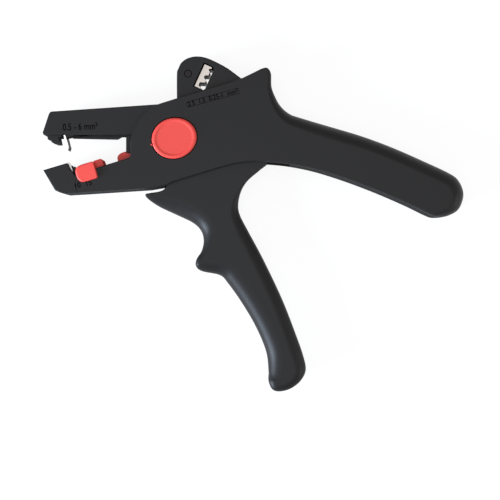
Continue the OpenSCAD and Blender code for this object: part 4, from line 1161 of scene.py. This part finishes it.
def pressure_spring():
    """Six coils of radius r about the line between the closing pin and the tail pin: place plus r (n cos 2
    pi k t + z sin 2 pi k t). In the tool the coils close up as the lever is pressed; this mesh keeps them
    as made."""
    coils, r, wire, level = 6, 0.9, 0.22, 9.22
    near, far = 1.82, 1.6
    p, q = polar(CLOSING_R, CLOSING_ANGLE), polar(CLOSING_R, TAIL_ANGLE)
    d = (q - p) / np.linalg.norm(q - p)
    n = np.array([-d[1], d[0]])
    start, end = p + d * near, q - d * far
    t = np.linspace(0, 1, coils * 24 + 1)[:, None]
    turn = 2 * math.pi * coils * t
    flat = start + (end - start) * t + n * r * np.cos(turn)
    spring = tube("jaw_pressure_spring", np.concatenate([flat, level + r * np.sin(turn)], 1), wire, 10)
    finish_piece(spring, "upper_jaw", "jaw_spring", "drawn_spring_wire", 60)
    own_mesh(spring)


class StripperSprings(bpy.types.Operator):
    """Make the return spring and the jaw spring of round wire"""
    bl_idname = "stripper.springs"
    bl_label = "Springs"

    def execute(self, context):
        torsion_spring()
        pressure_spring()
        return {"FINISHED"}


def steel_pins():
    """Gives its steel to every construction piece that nothing replaces."""
    replaced = {n for o in bpy.context.scene.objects for n in list(o.get("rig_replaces", []))}
    for name, node in frame["nodes"].items():
        if name not in replaced:
            dark = name in ("crimp_frame_pin", "carrier_link_pin")
            node.data.materials.clear()
            node.data.materials.append(surface("blackened_steel" if dark else "turned_steel"))


class StripperPins(bpy.types.Operator):
    """Give pins, rivets, screws and the crimping arm their steel"""
    bl_idname = "stripper.pins"
    bl_label = "Pins and screws"

    def execute(self, context):
        steel_pins()
        return {"FINISHED"}


# Stage: name, place and width in metres, share of the lamp power and tint of each lamp
LAMPS = (("overhead", (0.0, -0.1, 0.85), 0.7, 0.55, (1, 1, 1)),
         ("left_window", (-0.60, -0.30, 0.20), 0.40, 3.0, (0.72, 0.83, 1.0)),
         ("right_fill", (0.65, -0.20, 0.24), 0.45, 0.3, (1, 1, 1)))
# Point that the lamps look at, and place over which the camera stands, in metres
LAMP_AIM = (0.035, -0.04, 0.01)
CAMERA_OVER = (0.0355, -0.0524)


def seen_directly(tree):
    """1 for rays from the camera, off gloss and through glass, 0 for all others."""
    path, first, second = [new_node(tree, kind) for kind in ("LightPath", "Math", "Math")]
    first.operation = second.operation = "MAXIMUM"
    wire_up(tree, [(path.outputs["Is Camera Ray"], first.inputs[0]),
                   (path.outputs["Is Glossy Ray"], first.inputs[1]),
                   (first.outputs[0], second.inputs[0]),
                   (path.outputs["Is Transmission Ray"], second.inputs[1])])
    return second.outputs[0]


def make_floor(s):
    """Pale floor: white where it is looked at, but for the share that keeps the shadows."""
    half, level = 1500.0, -0.3
    corners = np.column_stack([box_outline(-half, half, -half, half), [level] * 4])
    floor = new_object("floor", corners, [[0, 1, 2, 3]])
    material, tree, shader, place = new_material("pale_floor")
    set_inputs(shader, {"Base Color": (*s.floor, 1), "Roughness": 0.9, "Specular IOR Level": 0.0})
    bumped(tree, noise_at(tree, place, 400.0, 2.0), shader, 0.05, 0.00005)
    white = new_node(tree, "Emission", {"Strength": 1.04})
    share = new_node(tree, "Math")
    share.operation = "MULTIPLY"
    share.inputs[1].default_value = 0.85
    mix = new_node(tree, "MixShader")
    wire_up(tree, [(seen_directly(tree), share.inputs[0]), (share.outputs[0], mix.inputs[0]),
                   (shader.outputs[0], mix.inputs[1]), (white.outputs[0], mix.inputs[2]),
                   (mix.outputs[0], tree.nodes["Material Output"].inputs["Surface"])])
    floor.data.materials.append(material)


def make_world(s):
    """Even light from all around, and plain white where the world is looked at."""
    world = bpy.data.worlds.new("studio")
    bpy.context.scene.world = world
    world.use_nodes = True
    tree = world.node_tree
    even = set_inputs(tree.nodes["Background"], {"Color": (1, 1, 1, 1), "Strength": s.world})
    white = new_node(tree, "Background", {"Color": (1, 1, 1, 1), "Strength": 1.0})
    mix = new_node(tree, "MixShader")
    wire_up(tree, [(seen_directly(tree), mix.inputs[0]), (even.outputs[0], mix.inputs[1]),
                   (white.outputs[0], mix.inputs[2]),
                   (mix.outputs[0], tree.nodes["World Output"].inputs["Surface"])])


def make_lamp(name, place, size, power, tint):
    """Soft round lamp that looks at the middle of the tool."""
    light = bpy.data.lights.new(name, "AREA")
    light.shape = "DISK"
    light.size = size
    light.energy = power
    light.color = tint
    lamp = linked(name, light)
    lamp.location = place
    aim = Vector(LAMP_AIM) - lamp.location
    lamp.rotation_euler = aim.to_track_quat("-Z", "Y").to_euler()


def make_camera(s):
    """Long lens square over the tool, as in the photograph."""
    camera = bpy.data.cameras.new("camera")
    camera.lens = 83.0
    camera.sensor_width = 36.0
    eye = linked("camera", camera)
    eye.location = (*CAMERA_OVER, THICK * 0.001 + s.distance)
    bpy.context.scene.camera = eye


class StripperStageMaker(bpy.types.Operator):
    """Make the floor, the lights and the camera"""
    bl_idname = "stripper.stage"
    bl_label = "Stage"

    def execute(self, context):
        s = context.scene.stripper_stage
        make_floor(s)
        make_world(s)
        for name, place, size, share, tint in LAMPS:
            make_lamp(name, place, size, s.lamp * share, tint)
        make_camera(s)
        context.scene.view_settings.view_transform = "Standard"
        return {"FINISHED"}


PIECES = (StripperHousing, StripperCaps, StripperLowerJaw, StripperUpperJaw, StripperCarriers,
          StripperBlades, StripperLever, StripperEar, StripperSprings, StripperPins, StripperStageMaker)


class StripperPanel(bpy.types.Panel):
    """Lists the pieces of the wire stripper"""
    bl_label = "Wire stripper"
    bl_idname = "VIEW3D_PT_stripper"
    bl_space_type = "VIEW_3D"
    bl_region_type = "UI"
    bl_category = "Stripper"

    def draw(self, context):
        scene = context.scene
        for group in (scene.stripper_finish, scene.stripper_shape, scene.stripper_stage):
            for name in group.__annotations__:
                self.layout.prop(group, name)
        for piece in PIECES:
            self.layout.operator(piece.bl_idname)


CLASSES = (StripperFinish, StripperShape, StripperStage, *PIECES, StripperPanel)


def register():
    """Registers the classes and gives the scene its three groups of settings."""
    for item in CLASSES:
        bpy.utils.register_class(item)
    bpy.types.Scene.stripper_finish = PointerProperty(type=StripperFinish)
    bpy.types.Scene.stripper_shape = PointerProperty(type=StripperShape)
    bpy.types.Scene.stripper_stage = PointerProperty(type=StripperStage)


def unregister():
    """Takes the settings and the classes away again."""
    for name in ("stripper_finish", "stripper_shape", "stripper_stage"):
        delattr(bpy.types.Scene, name)
    for item in reversed(CLASSES):
        bpy.utils.unregister_class(item)


def main():
    """Makes all pieces and the stage."""
    register()
    for piece in PIECES:
        group, name = piece.bl_idname.split(".")
        getattr(getattr(bpy.ops, group), name)()


if __name__ == "__main__":
    main()
